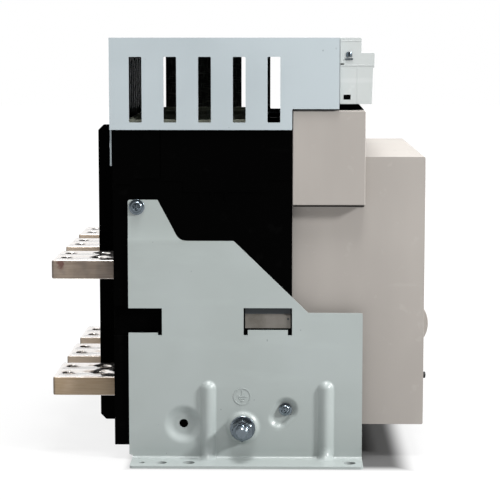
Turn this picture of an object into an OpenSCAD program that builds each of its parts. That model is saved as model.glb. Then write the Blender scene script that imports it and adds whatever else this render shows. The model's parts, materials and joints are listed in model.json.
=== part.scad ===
// Three-pole air circuit breaker, fixed type, on two folded sheet side plates.
// X runs across the poles, the operating front faces -Y, the terminals point to +Y, and Z is up.
// The origin is the centre of the four foot holes, on the underside of the feet.

/* [Overall] */
// Height from the feet to the top of the exhaust cover
total_h = 402; // [398:1:410]
// Distance between the outer edges of the two feet
feet_w = 422; // [418:1:430]
// Distance between the centres of neighbouring poles
pole_pitch = 115; // [113:0.5:115]

/* [Side plates] */
// Thickness of the folded sheet
plate_t = 2.5; // [2:0.1:3]
// Distance from the middle to the inner face of a side plate
plate_in = 172.5; // [172:0.5:174]
// Distance from the middle to a row of foot holes
foot_hole_x = 196; // [193:0.5:200]
// Distance from the middle to each foot hole, front to rear
foot_hole_y = 76; // [70:0.5:80]
// Radius of the foot holes
foot_hole_r = 5.75; // [5:0.25:6]

/* [Terminals] */
// Thickness of the terminal bars
bar_t = 18.5; // [15:0.5:20]
// Width of the terminal bars
bar_w = 77; // [70:1:80]
// Height of the underside of the upper bars
bar_hi = 171.6; // [168:0.2:175]
// Height of the underside of the lower bars
bar_lo = 58; // [56:0.5:62]
// Rear end of the terminal bars
bar_end = 209.5; // [205:0.5:215]
// Radius of the terminal holes
bar_hole_r = 7; // [5.5:0.25:7.5]

/* [Housings] */
// Rear face of the moulded housing
rear_y = 148; // [146:0.5:150]
// Front face of the moulded housing
front_y = -21.3; // [-21.3:0.1:-19]
// Joint between the two moulded halves
joint_y = 60; // [58:1:62]
// Underside of the housing
low_z = 14.2; // [12:0.2:18]
// Top edge of the housing
top_z = 318; // [317:0.5:320]
// Thickness of the outer side walls
wall = 8; // [7:0.5:9]

/* [Contacts] */
// Angle that the contacts and the main shaft turn between open and closed
swing = 25; // [20:1:25]
// Lean of the closed contact fingers towards the terminals
lean = 19; // [18:0.5:20]
// Radius from the contact pivot to the drive pin
crank_r = 38; // [36:1:38]

/* [Front] */
// Front face of the operating cover
face_y = -147.5; // [-149:0.5:-146]
// Half the width of the operating cover
face_x = 160; // [158:1:165]
// Wall thickness of the operating cover
shell = 3; // [2.5:0.5:3.5]
// Radius of the charging handle hub
hub_r = 28.9; // [27:0.1:29.5]

/* [Hidden] */
$fn = 48;

pole_left = -pole_pitch;
pole_right = pole_pitch;
poles = [pole_left, 0, pole_right];
gap = 0.05;

// Side plate outline
plate_front = -88.5;
plate_rear = 134;
plate_step_z = 142.5;
plate_mid_z = 211;
plate_top_z = 250;
slot_y = [-21.6, 24.5];
slot_z = [125.9, 147.2];
notch_y = 102.1;
notch_z = [123, 146.8];
dimple = [82, 34.8];
dimple_r = 20;
dent = [-15.4, 49];
dent_r = 16;
stud = [25.4, 31.9];
boss_r = 16.5;
press_depth = 4;
bead_y = [58.4, -54];
bead_top = 77;
bead_r = 7.5;
top_screw = [125.5, 243.2];
screw_r = 3;
stud_root_r = 5.8;
lip_drop = 2.4;
relief_w = 4;
relief_h = 5;
wide_hole = [101.5, 4.8];
narrow_hole = [120.6, 3.15];

// Exhaust cover
cover_t = 1.5;
cover_rear = 150.5;
cover_front = -65.3;
cover_low = 316;
cover_step_z = 335.6;
cover_step_y = -21.2;
cover_tail_z = 281.8;
vent_w = 12;
vent_pitch = 32.5;
vent_first = 126;
vent_z = [322.9, 384.2];
liner_t = 1;
fin_pitch = 8;
tail_screw_x = [-150, -20, 20, 150];
tail_screw_z = 300;

// Phase barriers, which slide into grooves in the rear housing
barrier_rear = 173;
barrier_top = 315.7;
barrier_t = 4;
barrier_lines = [-pole_pitch / 2, pole_pitch / 2];

// Terminal holes, across and along a bar
bar_hole_x = [-17.5, 17.5];
bar_hole_y = [165.5, 195.5];

// Arc chutes
chute_half = 49;
chute_y = [18, rear_y - 12];
chute_z = [206, 325];

// Contacts and drive: the link, the housing and the two cranks form a parallelogram
pivot = [joint_y, 95];
shaft = [-50, 95];
shaft_r = 12;
pivot_r = 5;
pin_r = 4;
open_lean = lean - swing;
crank_lean = -37;
crank = crank_r * [sin(crank_lean), cos(crank_lean)];
knee = shaft + crank;
elbow = pivot + crank;
finger_w = 6;
finger_pitch = 8;
finger_n = 7;
pad_y = 8;
pad_z = 94;

// Charging drive
hub = [-134.9, 107];
axle = [-108, 107];
cam_r = 15;
cam_e = 4;
handle_turn = 75;
cam_axle_r = 6;
follower_z = axle[1] + cam_r - cam_e * sin(handle_turn / 2) + 0.15;
spring_z = [148, 222];
spring_r = 7.5;
wire_r = 1.6;
spring_turns = 9;
frame_x = 28;
frame_t = 3;

// Coils above the latches
coil_x = 52;
closing_coil_z = 228;
trip_coil_z = 190;
coil_end = -80;
coil_back = -54;
coil_half = 12;

// Motor lying across the cover
motor_at = [-92, 61];

// Operating cover
cover_z = [32.5, 290];
cover_back = front_y - 0.2;
step_y = -90.4;
step_z = 244.8;
upper_box_y = [-90.2, front_y - 0.3];
upper_box_z = [245, 334];

// Secondary terminals
module_n = 20;
module_w = 16.5;
clamp_at = [-76, 394];

// Operating panel
on_at = [110, 190];
off_at = [110, 150];
key_at = [110, 105];
reset_at = [-105, 279.5];
flag_x = 58;
flag_z = [184, 144];
trip_x = [-148, -62];
trip_z = [92, 272];
latch_y = -88;
latch_r = 5;
on_shaft_z = 212;
off_shaft_z = 172;
knob_at = [60, 62];
knob_r = 3.3;
lamp_x = [-134, -115, -96, -77];
lamp_z = 192;
dial_z = [164, 140];
button_half = [11, 13];
grip_z = [196, 202, 208, 214, 220];
handle_half = 11;

// A box between two corners
module block(x, y, z) {
    translate([x[0], y[0], z[0]]) cube([x[1] - x[0], y[1] - y[0], z[1] - z[0]]);
}

// A flat outline in Y and Z, drawn out along X
module along_x(x) {
    translate([x[0], 0, 0]) rotate([90, 0, 90]) linear_extrude(x[1] - x[0]) children();
}

// A round bar along X at a point in Y and Z
module rod_x(x, at, r) {
    translate([x[0], at[0], at[1]]) rotate([0, 90, 0]) cylinder(h = x[1] - x[0], r = r);
}

// A round bar along Y at a point in X and Z
module rod_y(y, at, r) {
    translate([at[0], y[0], at[1]]) rotate([-90, 0, 0]) cylinder(h = y[1] - y[0], r = r);
}

// A cone along X: r2 is at the far end of x
module cone_x(x, at, r1, r2) {
    translate([x[0], at[0], at[1]]) rotate([0, 90, 0]) cylinder(h = x[1] - x[0], r1 = r1, r2 = r2);
}

// The point p turned from upright towards +Y by the angle a
function turned(p, a) = [p[0] * cos(a) + p[1] * sin(a), p[1] * cos(a) - p[0] * sin(a)];

// An outline whose corners [y, z, r] are rounded by arcs of radius r
function unit(v) = v / norm(v);
function corner(a, b, c) =
    let (u = unit([a[0] - b[0], a[1] - b[1]]), w = unit([c[0] - b[0], c[1] - b[1]]))
    let (half = acos(max(-1, min(1, u * w))) / 2, m = unit(u + w), side = sign(u[0] * w[1] - u[1] * w[0]))
    let (mid = [b[0], b[1]] + m * b[2] / sin(half), start = atan2(-m[1], -m[0]), sweep = 90 - half)
    [for (i = [-4:4]) let (a = start - side * i * sweep / 4) mid + b[2] * [cos(a), sin(a)]];
function rounded(p) = [for (i = [0:len(p) - 1])
    let (a = p[(i + len(p) - 1) % len(p)], b = p[i], c = p[(i + 1) % len(p)])
    each (b[2] > 0 ? corner(a, b, c) : [[b[0], b[1]]])];

module mirrored(on) {
    mirror([on ? 1 : 0, 0, 0]) children();
}

// ---- Side plates ----

module plate_outline() {
    polygon(rounded([
        [plate_front, 0, 0], [plate_front, plate_step_z, 2], [-36.9, plate_step_z, 1],
        [33.9, plate_mid_z, 1], [85.2, plate_mid_z, 12], [105.8, plate_top_z, 1],
        [plate_rear, plate_top_z, 2], [plate_rear, notch_z[1], 0], [notch_y, notch_z[1], 0.5],
        [notch_y, notch_z[0] - lip_drop, 0], [notch_y + relief_w, notch_z[0] - lip_drop, 0],
        [notch_y + relief_w, notch_z[0], 0], [plate_rear, notch_z[0], 0], [plate_rear, 0, 0]
    ]));
}

module slot_outline() {
    translate([slot_y[0], slot_z[0]]) square([slot_y[1] - slot_y[0], slot_z[1] - slot_z[0]]);
    for (y = [slot_y[0], slot_y[1] - relief_w])
        translate([y, slot_z[0] - relief_h]) square([relief_w, relief_h + 1]);
}

module bead() {
    foot_x = plate_in + plate_t;
    for (y = bead_y) {
        translate([foot_x - 4, y, 0]) cylinder(h = bead_top - bead_r, r = bead_r);
        translate([foot_x - 4, y, bead_top - bead_r]) sphere(r = bead_r);
        translate([foot_x + 3, y, plate_t]) cylinder(h = 6, r1 = bead_r, r2 = 3);
    }
}

module bead_hollow() {
    foot_x = plate_in + plate_t;
    for (y = bead_y) {
        translate([foot_x - 4, y, -1]) cylinder(h = bead_top - bead_r + 1, r = bead_r - plate_t);
        translate([foot_x - 4, y, bead_top - bead_r]) sphere(r = bead_r - plate_t);
    }
}

module side_plate() {
    x0 = plate_in;
    x1 = plate_in + plate_t;
    difference() {
        union() {
            along_x([x0, x1]) difference() {
                plate_outline();
                slot_outline();
            }
            block([x0, feet_w / 2], [plate_front, plate_rear - 3], [0, plate_t]);
            intersection() {
                bead();
                block([x0, feet_w / 2], [plate_front, plate_rear], [0, plate_top_z]);
            }
            cone_x([x1, x1 + 3], stud, boss_r, boss_r - 4);
            block([x0 - 2, x0 + 1], [notch_y + 4.5, plate_rear - 4], [notch_z[0] - 2, notch_z[0]]);
            for (c = [[dimple, dimple_r], [dent, dent_r]])
                cone_x([x0 - press_depth, x0 + 1], c[0], c[1] - 7, c[1] - 2);
        }
        intersection() {
            bead_hollow();
            block([x0 - 1, x1 + 3], [plate_front, plate_rear], [-1, plate_top_z]);
        }
        cone_x([x0 - 0.1, x1 + 0.5], stud, boss_r - plate_t - 0.6, boss_r - plate_t - 4);
        rod_x([x0 - 1, x1 + 5], stud, 6.2);
        for (c = [[dimple, dimple_r, 4.3], [dent, dent_r, screw_r + 0.2]]) {
            cone_x([x1 - press_depth - 0.1, x1 + 0.1], c[0], c[1] - 7 - plate_t, c[1]);
            rod_x([x0 - 6, x1 + 1], c[0], c[2]);
        }
        rod_x([x0 - 1, x1 + 1], top_screw, screw_r + 0.2);
        for (y = [-foot_hole_y, foot_hole_y])
            translate([foot_hole_x, y, -1]) cylinder(h = plate_t + 2, r = foot_hole_r);
        for (c = [wide_hole, narrow_hole])
            translate([foot_hole_x + 1, c[0], -1]) cylinder(h = plate_t + 2, r = c[1]);
    }
}

module left_side_plate() {
    color("#acb4b1") mirrored(true) side_plate();
}

module right_side_plate() {
    color("#acb4b1") side_plate();
}

// ---- Exhaust cover and its liner ----

module cover_side() {
    polygon(rounded([
        [cover_rear, cover_low, 1], [cover_rear, total_h, 1], [cover_front, total_h, 1],
        [cover_front, cover_step_z, 1], [cover_step_y, cover_step_z, 1], [cover_step_y, cover_low, 1]
    ]));
}

module vents() {
    for (i = [0:4])
        translate([vent_first - i * vent_pitch - vent_w / 2, vent_z[0]])
            polygon(rounded([
                [0, 0, 1], [vent_w, 0, 1], [vent_w, vent_z[1] - vent_z[0], 1], [0, vent_z[1] - vent_z[0], 1]
            ]));
}

module exhaust_cover() {
    x1 = plate_in + plate_t;
    color("#c3cbcf") difference() {
        union() {
            for (s = [-1, 1]) along_x(s > 0 ? [x1 - cover_t, x1] : [-x1, cover_t - x1]) cover_side();
            block([-x1, x1], [cover_front, cover_rear], [total_h - cover_t, total_h]);
            block([-x1, x1], [cover_rear - cover_t, cover_rear], [cover_low, total_h]);
            block([-x1 + 4, x1 - 4], [cover_rear - cover_t, cover_rear], [cover_tail_z, cover_low + 1]);
            block([-x1, x1], [cover_front, cover_front + cover_t], [cover_step_z, total_h]);
            for (s = [-1, 1]) block(
                s > 0 ? [x1 - 14, x1 - 1] : [1 - x1, 14 - x1],
                [cover_front + 1, cover_step_y], [cover_step_z, cover_step_z + cover_t]
            );
        }
        for (s = [-1, 1]) along_x(s > 0 ? [x1 - 3, x1 + 1] : [-x1 - 1, 3 - x1]) vents();
        for (x = barrier_lines)
            block([x - 3.5, x + 3.5], [cover_rear - 3, cover_rear + 1], [cover_tail_z - 1, cover_low + 1]);
        for (x = tail_screw_x) rod_y([cover_rear - 3, cover_rear + 1], [x, tail_screw_z], 2.1);
    }
}

module exhaust_liner() {
    x1 = plate_in + plate_t - cover_t;
    y1 = cover_rear - cover_t;
    color("#1c1c1c") {
        for (s = [-1, 1]) along_x(s > 0 ? [x1 - liner_t, x1] : [-x1, liner_t - x1]) difference() {
            translate([cover_step_y + 2, 319.5]) square([y1 - cover_step_y - 2, 78]);
            vents();
        }
        block([-x1 + liner_t, x1 - liner_t], [y1 - 2, y1], [319.5, 397.5]);
        for (i = [-20:20])
            block([i * fin_pitch - 1, i * fin_pitch + 1], [y1 - 7, y1 - 1.9], [322, 395]);
    }
}

// ---- Moulded housing in two halves ----

cavities = [
    [-plate_in + wall, pole_left + 52], [-52, 52], [pole_right - 52, plate_in - wall]
];

module wall_pockets() {
    for (s = [false, true]) mirrored(s) {
        rod_x([plate_in - 5, plate_in + 1], dimple, dimple_r + 1);
        rod_x([plate_in - 5, plate_in + 1], dent, dent_r + 1);
        rod_x([plate_in - 5, plate_in + 1], stud, 14);
        rod_x([plate_in - wall + 2, plate_in + 1], dent, 3);
        rod_x([plate_in - wall + 2, plate_in + 1], top_screw, 3);
        for (y = bead_y) block([plate_in - 0.5, plate_in + 1], [y - 6, y + 6], [low_z - 1, bead_top]);
        block([plate_in - 2, plate_in + 1], [slot_y[0] - 1, 25], [108, 147.2]);
        block([plate_in - 4, plate_in + 1], [notch_y, rear_y + 1], [notch_z[0] - 3, notch_z[1] + 2]);
    }
    rod_x([-170, 170], pivot, pivot_r);
}

module rear_housing() {
    color("#202022") difference() {
        block([-plate_in, plate_in], [joint_y, rear_y], [low_z, top_z]);
        for (c = cavities) block(c, [joint_y - 1, rear_y - 10], [low_z + 8, top_z + 1]);
        for (x = poles) for (z = [bar_hi, bar_lo])
            block([x - bar_w / 2, x + bar_w / 2], [rear_y - 11, rear_y + 1], [z, z + bar_t]);
        for (x = barrier_lines)
            block(
                [x - barrier_t / 2, x + barrier_t / 2], [rear_y - 4, rear_y + 1],
                [low_z + 0.6, top_z + 1]
            );
        for (x = tail_screw_x) rod_y([rear_y - 8, rear_y + 1], [x, tail_screw_z], 2);
        wall_pockets();
    }
}

module front_housing() {
    color("#1e1e20") difference() {
        block([-plate_in, plate_in], [front_y, joint_y], [low_z, top_z]);
        for (c = cavities) block(c, [front_y + 12, joint_y + 1], [low_z + 8, top_z + 1]);
        for (x = poles) block([x - 14, x + 14], [front_y - 1, front_y + 13], [110, 150]);
        wall_pockets();
    }
}

module phase_barriers() {
    cut = 5.5;
    low = low_z + 0.6;
    color("#1b1b1d") for (x = barrier_lines) along_x([x - barrier_t / 2, x + barrier_t / 2])
        polygon([
            [rear_y - 4, low], [barrier_rear - cut, low], [barrier_rear, low + cut],
            [barrier_rear, barrier_top - cut], [barrier_rear - cut, barrier_top], [rear_y - 4, barrier_top]
        ]);
}

// ---- Arc chutes ----

module arc_chute(x) {
    y = chute_y;
    z = chute_z;
    side = 4;
    plate_pitch = 9;
    grid_pitch = 12;
    color("#3a3530") {
        difference() {
            block([x - chute_half, x + chute_half], y, z);
            block(
                [x - chute_half + side, x + chute_half - side],
                [y[0] + side, y[1] - side], [z[0] - 1, z[1] + 1]
            );
        }
        for (i = [0:10]) block(
            [x - chute_half + 3, x + chute_half - 3],
            [y[0] + 10 + i * plate_pitch, y[0] + 12 + i * plate_pitch], [z[0] + 22, z[1] - 6]
        );
        for (i = [-3:3]) block(
            [x + i * grid_pitch - 2, x + i * grid_pitch + 2],
            [y[0] + 2, y[1] - 2], [z[1] - 7, z[1] - 3]
        );
    }
}

module arc_chute_left() {
    arc_chute(pole_left);
}

module arc_chute_centre() {
    arc_chute(0);
}

module arc_chute_right() {
    arc_chute(pole_right);
}

// ---- Terminals ----

module bar_outline(x, y0) {
    polygon(rounded([
        [x - bar_w / 2, y0, 0], [x + bar_w / 2, y0, 0],
        [x + bar_w / 2, bar_end, 2], [x - bar_w / 2, bar_end, 2]
    ]));
}

module terminal_bar(x, y0, z) {
    difference() {
        translate([0, 0, z]) linear_extrude(bar_t) bar_outline(x, y0);
        for (dx = bar_hole_x) for (y = bar_hole_y)
            translate([x + dx, y, z - 1]) cylinder(h = bar_t + 2, r = bar_hole_r);
    }
}

// The inner end of an upper bar slopes with the closed fingers and carries the arc runner
module upper_terminal(x) {
    low = pivot + turned([pad_y + 0.3, pad_z - 9], lean);
    high = pivot + turned([pad_y + 0.3, pad_z + 8], lean);
    color("#a5744d") {
        terminal_bar(x, 112, bar_hi);
        along_x([x - 29, x + 29])
            polygon([low, high, high + [3, 12], high + [9, 12], [114, bar_hi + bar_t], [114, bar_hi]]);
    }
}

module upper_terminal_left() {
    upper_terminal(pole_left);
}

module upper_terminal_centre() {
    upper_terminal(0);
}

module upper_terminal_right() {
    upper_terminal(pole_right);
}

module lower_terminal(x) {
    color("#a5744d") terminal_bar(x, 84, bar_lo);
}

module lower_terminal_left() {
    lower_terminal(pole_left);
}

module lower_terminal_centre() {
    lower_terminal(0);
}

module lower_terminal_right() {
    lower_terminal(pole_right);
}

// Laminated strips that carry the current from the lower bars to the finger heels
module flexible_shunts() {
    z = bar_lo + bar_t;
    color("#b87545") for (x = poles) for (i = [-3:3])
        along_x([x + i * finger_pitch - 3, x + i * finger_pitch + 3])
            polygon(rounded([
                [85, z, 0], [93, z, 0], [93, pivot[1] + 5, 8], [pivot[0] + 12.5, pivot[1] + 3, 0],
                [pivot[0] + 12.5, pivot[1] - 5, 0], [85, pivot[1] - 3, 4]
            ]));
}

// Ring cores round the lower bars
module current_transformers() {
    color("#2b3a4a") for (x = poles) difference() {
        block([x - 47, x + 47], [102, 132], [32, 104]);
        block([x - bar_w / 2 - 0.5, x + bar_w / 2 + 0.5], [101, 133], [bar_lo - 0.5, bar_lo + bar_t + 0.5]);
    }
}

module contact_pivot_pins() {
    color("#c8ccd0") {
        rod_x([-57, 57], pivot, pivot_r);
        rod_x([58, 170], pivot, pivot_r);
        rod_x([-170, -58], pivot, pivot_r);
    }
}

// ---- Moving contacts, drawn open ----

module carrier_outline() {
    polygon(rounded([
        [-14, -8, 3], [-14, 62, 3], [-9, 74, 1], [-6.6, 74, 1],
        [-6.6, 14, 2], [8, 12, 3], [11, 0, 4], [4, -12, 4]
    ]));
}

module contact_carrier(x) {
    local = turned(crank, -open_lean);
    color("#4a2b22") translate([x, pivot[0], pivot[1]]) rotate([-open_lean, 0, 0]) {
        for (s = [-1, 1]) difference() {
            union() {
                along_x(s > 0 ? [29, 33] : [-33, -29]) carrier_outline();
                rod_x(s > 0 ? [29, 33] : [-33, -29], [0, 0], 12);
            }
            rod_x([-40, 40], [0, 0], pivot_r + gap);
        }
        difference() {
            block([-29.5, 29.5], [-14, -9.5], [14, 70]);
            block([-4.6, 4.6], [-15, -9], [local[1] - 10, local[1] + 10]);
        }
        for (s = [-1, 1]) along_x(s > 0 ? [5, 9] : [-9, -5])
            polygon([[-13, 22], [local[0] - 6, local[1] - 6], [local[0] - 6, local[1] + 6], [-13, 46]]);
        rod_x([-9, 9], local, pin_r);
    }
}

module contact_carrier_left() {
    contact_carrier(pole_left);
}

module contact_carrier_centre() {
    contact_carrier(0);
}

module contact_carrier_right() {
    contact_carrier(pole_right);
}

module finger() {
    h = finger_w / 2;
    difference() {
        union() {
            rod_x([-h, h], [0, 0], 11);
            along_x([-h, h]) polygon(rounded([
                [-6, 0, 0], [-6, 110, 4], [-1, 116, 2], [3, 112, 3],
                [4, pad_z + 9, 0], [pad_y, pad_z + 7, 1], [pad_y, pad_z - 8, 1], [4, pad_z - 10, 0], [6, 0, 0]
            ]));
        }
        rod_x([-h - 1, h + 1], [0, 0], pivot_r + gap);
    }
    for (z = [32, 56]) translate([0, -9.5, z]) rotate([-90, 0, 0]) cylinder(h = 3.6, r = 2.4);
}

module contact_fingers(x) {
    color("#b87545") for (i = [0:finger_n - 1])
        translate([x + (i - (finger_n - 1) / 2) * finger_pitch, pivot[0], pivot[1]])
            rotate([-open_lean, 0, 0]) finger();
}

module contact_fingers_left() {
    contact_fingers(pole_left);
}

module contact_fingers_centre() {
    contact_fingers(0);
}

module contact_fingers_right() {
    contact_fingers(pole_right);
}

// ---- Main shaft, links and bearings ----

module main_shaft() {
    color("#8d9296") {
        rod_x([-150, 150], shaft, shaft_r);
        for (x = poles) {
            for (s = [-1, 1]) along_x(s > 0 ? [x + 5, x + 11] : [x - 11, x - 5]) hull() {
                translate(shaft) circle(r = 17, $fn = 32);
                translate(knee) circle(r = 8, $fn = 32);
            }
            rod_x([x - 11, x + 11], knee, pin_r);
        }
    }
}

module shaft_bearings() {
    color("#6f7478") for (x = barrier_lines) difference() {
        block([x - 7, x + 7], [shaft[0] - 20, front_y], [shaft[1] - 22, shaft[1] + 22]);
        rod_x([x - 8, x + 8], shaft, shaft_r + gap);
    }
}

module drive_link(x) {
    color("#b9bcbe") difference() {
        union() {
            block([x - 4, x + 4], [knee[0], elbow[0]], [knee[1] - 5, knee[1] + 5]);
            rod_x([x - 4, x + 4], knee, 7.5);
            rod_x([x - 4, x + 4], elbow, 7.5);
        }
        rod_x([x - 5, x + 5], knee, pin_r + gap);
        rod_x([x - 5, x + 5], elbow, pin_r + 0.3);
    }
}

module drive_link_left() {
    drive_link(pole_left);
}

module drive_link_centre() {
    drive_link(0);
}

module drive_link_right() {
    drive_link(pole_right);
}

// ---- Charging mechanism ----

module mechanism_frame() {
    color("#b4b8ba") difference() {
        union() {
            for (x = [-frame_x - frame_t, frame_x]) along_x([x, x + frame_t]) polygon(rounded([
                [front_y, 42, 2], [-120, 42, 8], [-143, 92, 6],
                [-143, 140, 6], [-132, 236, 8], [front_y, 236, 4]
            ]));
            for (p = [[-62, 52], [-40, 180]]) rod_x([-frame_x - 1, frame_x + 1], p, 5);
            block(
                [-frame_x - 1, frame_x + 1], [axle[0] - 14, axle[0] + 13.5],
                [spring_z[1], spring_z[1] + 5]
            );
        }
        rod_x([-40, 40], shaft, shaft_r + 1);
        rod_x([-40, 40], axle, cam_axle_r + gap);
        for (z = [on_shaft_z, off_shaft_z]) rod_x([-40, 40], [latch_y, z], latch_r + gap);
    }
}

module camshaft() {
    off = cam_e * [cos(handle_turn / 2), -sin(handle_turn / 2)];
    color("#9da1a4") {
        rod_x([-52, 38], axle, cam_axle_r);
        for (x = [[-26, -20], [20, 26]]) rod_x(x, axle + off, cam_r);
    }
}

function tooth_ring(n, r0, r1) = [for (i = [0:n - 1]) each [
    r0 * [cos(i * 360 / n), sin(i * 360 / n)],
    r1 * [cos((i + 0.85) * 360 / n), sin((i + 0.85) * 360 / n)],
    r0 * [cos((i + 0.98) * 360 / n), sin((i + 0.98) * 360 / n)]
]];

module ratchet_wheel() {
    color("#86898b") difference() {
        along_x([12.5, 17]) translate(axle) polygon(tooth_ring(16, 17, 22));
        rod_x([11, 18], axle, cam_axle_r);
    }
}

module drive_pawl() {
    tip = axle + [-22.6, 0];
    color("#55585a") {
        along_x([12.5, 16.5]) polygon([tip, tip + [-1, 5], tip + [-6, 12], tip + [-11, 9], tip + [-6, -1]]);
        rod_x([11, 12.6], tip + [-7, 7], 2.4);
    }
}

module charging_handle() {
    color("#b9b3ab") difference() {
        union() {
            rod_x([-handle_half, handle_half], hub, hub_r);
            rod_x([-handle_half, handle_half], axle, 12);
            along_x([-handle_half, handle_half]) polygon(rounded([
                [face_y, 67, 1], [face_y, 234, 3], [face_y + 9, 234, 3], [face_y + 7, hub[1] + 30, 0],
                [hub[0], hub[1], 0], [face_y + 8, 67, 2]
            ]));
        }
        rod_x([-12, 12], axle, cam_axle_r + gap);
        for (z = grip_z) block([-8, 8], [face_y - 1, face_y + 1.2], [z, z + 3]);
    }
}

module spring_follower() {
    color("#7c8184") {
        for (x = [[-26.5, -19.5], [19.5, 26.5]]) block(x, [axle[0] - 14, axle[0] + 14], [follower_z, 141]);
        block([-26.5, 26.5], [axle[0] - 14, axle[0] + 14], [140, spring_z[0]]);
    }
}

function coil_ring(t, h) = let (a = t * 360 * spring_turns, z = wire_r + t * (h - 2 * wire_r))
    [for (k = [0:7]) let (r = spring_r + wire_r * cos(k * 45))
        [r * cos(a), r * sin(a), z + wire_r * sin(k * 45)]];

module coil_spring(h) {
    steps = spring_turns * 14;
    rings = [for (i = [0:steps]) coil_ring(i / steps, h)];
    polyhedron(
        points = [for (r = rings) each r],
        faces = [
            [for (k = [0:7]) k],
            [for (k = [7:-1:0]) steps * 8 + k],
            for (i = [0:steps - 1]) for (k = [0:7])
                [i * 8 + k, (i + 1) * 8 + k, (i + 1) * 8 + (k + 1) % 8, i * 8 + (k + 1) % 8]
        ]
    );
}

module closing_springs() {
    color("#5d6266") for (x = [-14, 14])
        translate([x, axle[0], spring_z[0]]) coil_spring(spring_z[1] - spring_z[0]);
}

// ---- Latches, coils and motor ----

module latch_shaft(z, button_z, coil_z, button_x, coil_x) {
    rod_x([-36, button_x + 8], [latch_y, z], latch_r);
    for (arm = [[button_x, button_z], [coil_x, coil_z]])
        block(
            [arm[0] - 4, arm[0] + 4], [latch_y - latch_r, latch_y],
            [min(z, arm[1]) - (arm[1] < z ? 4 : 0), max(z, arm[1]) + (arm[1] > z ? 4 : 0)]
        );
}

module closing_latch_shaft() {
    color("#a9adb0") latch_shaft(on_shaft_z, on_at[1], closing_coil_z, on_at[0], coil_x);
}

module trip_latch_shaft() {
    color("#a9adb0") latch_shaft(off_shaft_z, off_at[1], trip_coil_z, off_at[0], coil_x);
}

module solenoid(z) {
    tall = [z - coil_half, z + coil_half];
    difference() {
        union() {
            rod_y([coil_end + 2, coil_back - 2], [coil_x, z], coil_half - 1);
            for (y = [coil_end, coil_back - 2.5])
                block([coil_x - coil_half, coil_x + coil_half], [y, y + 2.5], tall);
            block([frame_x + frame_t, coil_x - 11.5], [coil_end, coil_back], tall);
        }
        rod_y([coil_end - 1, coil_back - 6], [coil_x, z], 4 + gap);
    }
}

module closing_coil() {
    color("#3f4347") solenoid(closing_coil_z);
}

module trip_coil() {
    color("#3f4347") solenoid(trip_coil_z);
}

module plunger(z) {
    rod_y([latch_y + 4.5, coil_back - 12], [coil_x, z], 4);
}

module closing_plunger() {
    color("#c6cacc") plunger(closing_coil_z);
}

module trip_plunger() {
    color("#c6cacc") plunger(trip_coil_z);
}

// Motor lying across the cover, with its gearbox on the end of the camshaft
module charging_motor() {
    color("#505458") {
        rod_x([-150, -58], motor_at, 21);
        rod_x([-154, -149], motor_at, 8);
        difference() {
            block([-60, -frame_x - frame_t], [-130, -70], [38, 124]);
            rod_x([-62, -30], axle, cam_axle_r + gap);
        }
    }
}

// ---- Operating cover and panel ----

module cover_body() {
    polygon(rounded([
        [cover_back, cover_z[0], 0], [cover_back, step_z, 0], [step_y, step_z, 0], [step_y, cover_z[1], 0],
        [face_y, cover_z[1], 1.5], [face_y, cover_z[0], 1.5]
    ]));
}

module cover_hollow() {
    low = cover_z[0] + shell;
    top = cover_z[1] - shell;
    polygon(rounded([
        [front_y + 5, low, 0], [front_y + 5, step_z - shell, 0], [step_y - shell, step_z - shell, 0],
        [step_y - shell, top, 0], [face_y + shell, top, 1], [face_y + shell, low, 1]
    ]));
}

module front_cover() {
    deep = [face_y - 1, face_y + 6];
    color("#b6b0aa") difference() {
        union() {
            difference() {
                along_x([-face_x, face_x]) cover_body();
                along_x([shell - face_x, face_x - shell]) cover_hollow();
            }
            rod_y([face_y + 1, face_y + 18], key_at, 12);
            difference() {
                block([-15, 15], [face_y + 1, -132], [140, 241]);
                block([-12.5, 12.5], [face_y, -134], [138, 238.5]);
            }
        }
        block([trip_x[0] - 1.8, trip_x[1] + 1.8], deep, [trip_z[0] - 1.8, trip_z[1] + 1.8]);
        block([-12.5, 12.5], deep, [62, 238.5]);
        for (p = [on_at, off_at]) block(
            [p[0] - button_half[0] - 0.5, p[0] + button_half[0] + 0.5], deep,
            [p[1] - button_half[1] - 0.5, p[1] + button_half[1] + 0.5]
        );
        for (z = flag_z) block([flag_x - 11, flag_x + 11], deep, [z, z + 12]);
        rod_y([face_y - 1, face_y + 20], key_at, 8 + gap);
        rod_y(deep, reset_at, 3.6);
        for (s = [-1, 1]) {
            rod_y(deep, [s * knob_at[0], knob_at[1]], 2.6);
            rod_y([face_y - 1, face_y + 1], [s * knob_at[0], knob_at[1]], knob_r + 0.9);
        }
        block([40, 145], [face_y - 1, face_y + 0.8], [216, 262]);
    }
}

// Beige box over the front of the housing, below the exhaust cover
module upper_front_cover() {
    y = upper_box_y;
    z = upper_box_z;
    color("#b8b2ac") difference() {
        along_x([-plate_in, plate_in]) polygon(rounded([
            [y[0], z[0], 1], [y[1], z[0], 0], [y[1], z[1], 0], [y[0], z[1], 2]
        ]));
        block([shell - plate_in, plate_in - shell], [y[0] + shell, y[1] + 1], [z[0] + shell, z[1] - shell]);
    }
}

module terminal_support() {
    color("#18181a") along_x([-152, 152]) polygon([[-66, 334], [-89.5, 334], [-84, 340], [-66, 340]]);
}

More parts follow.
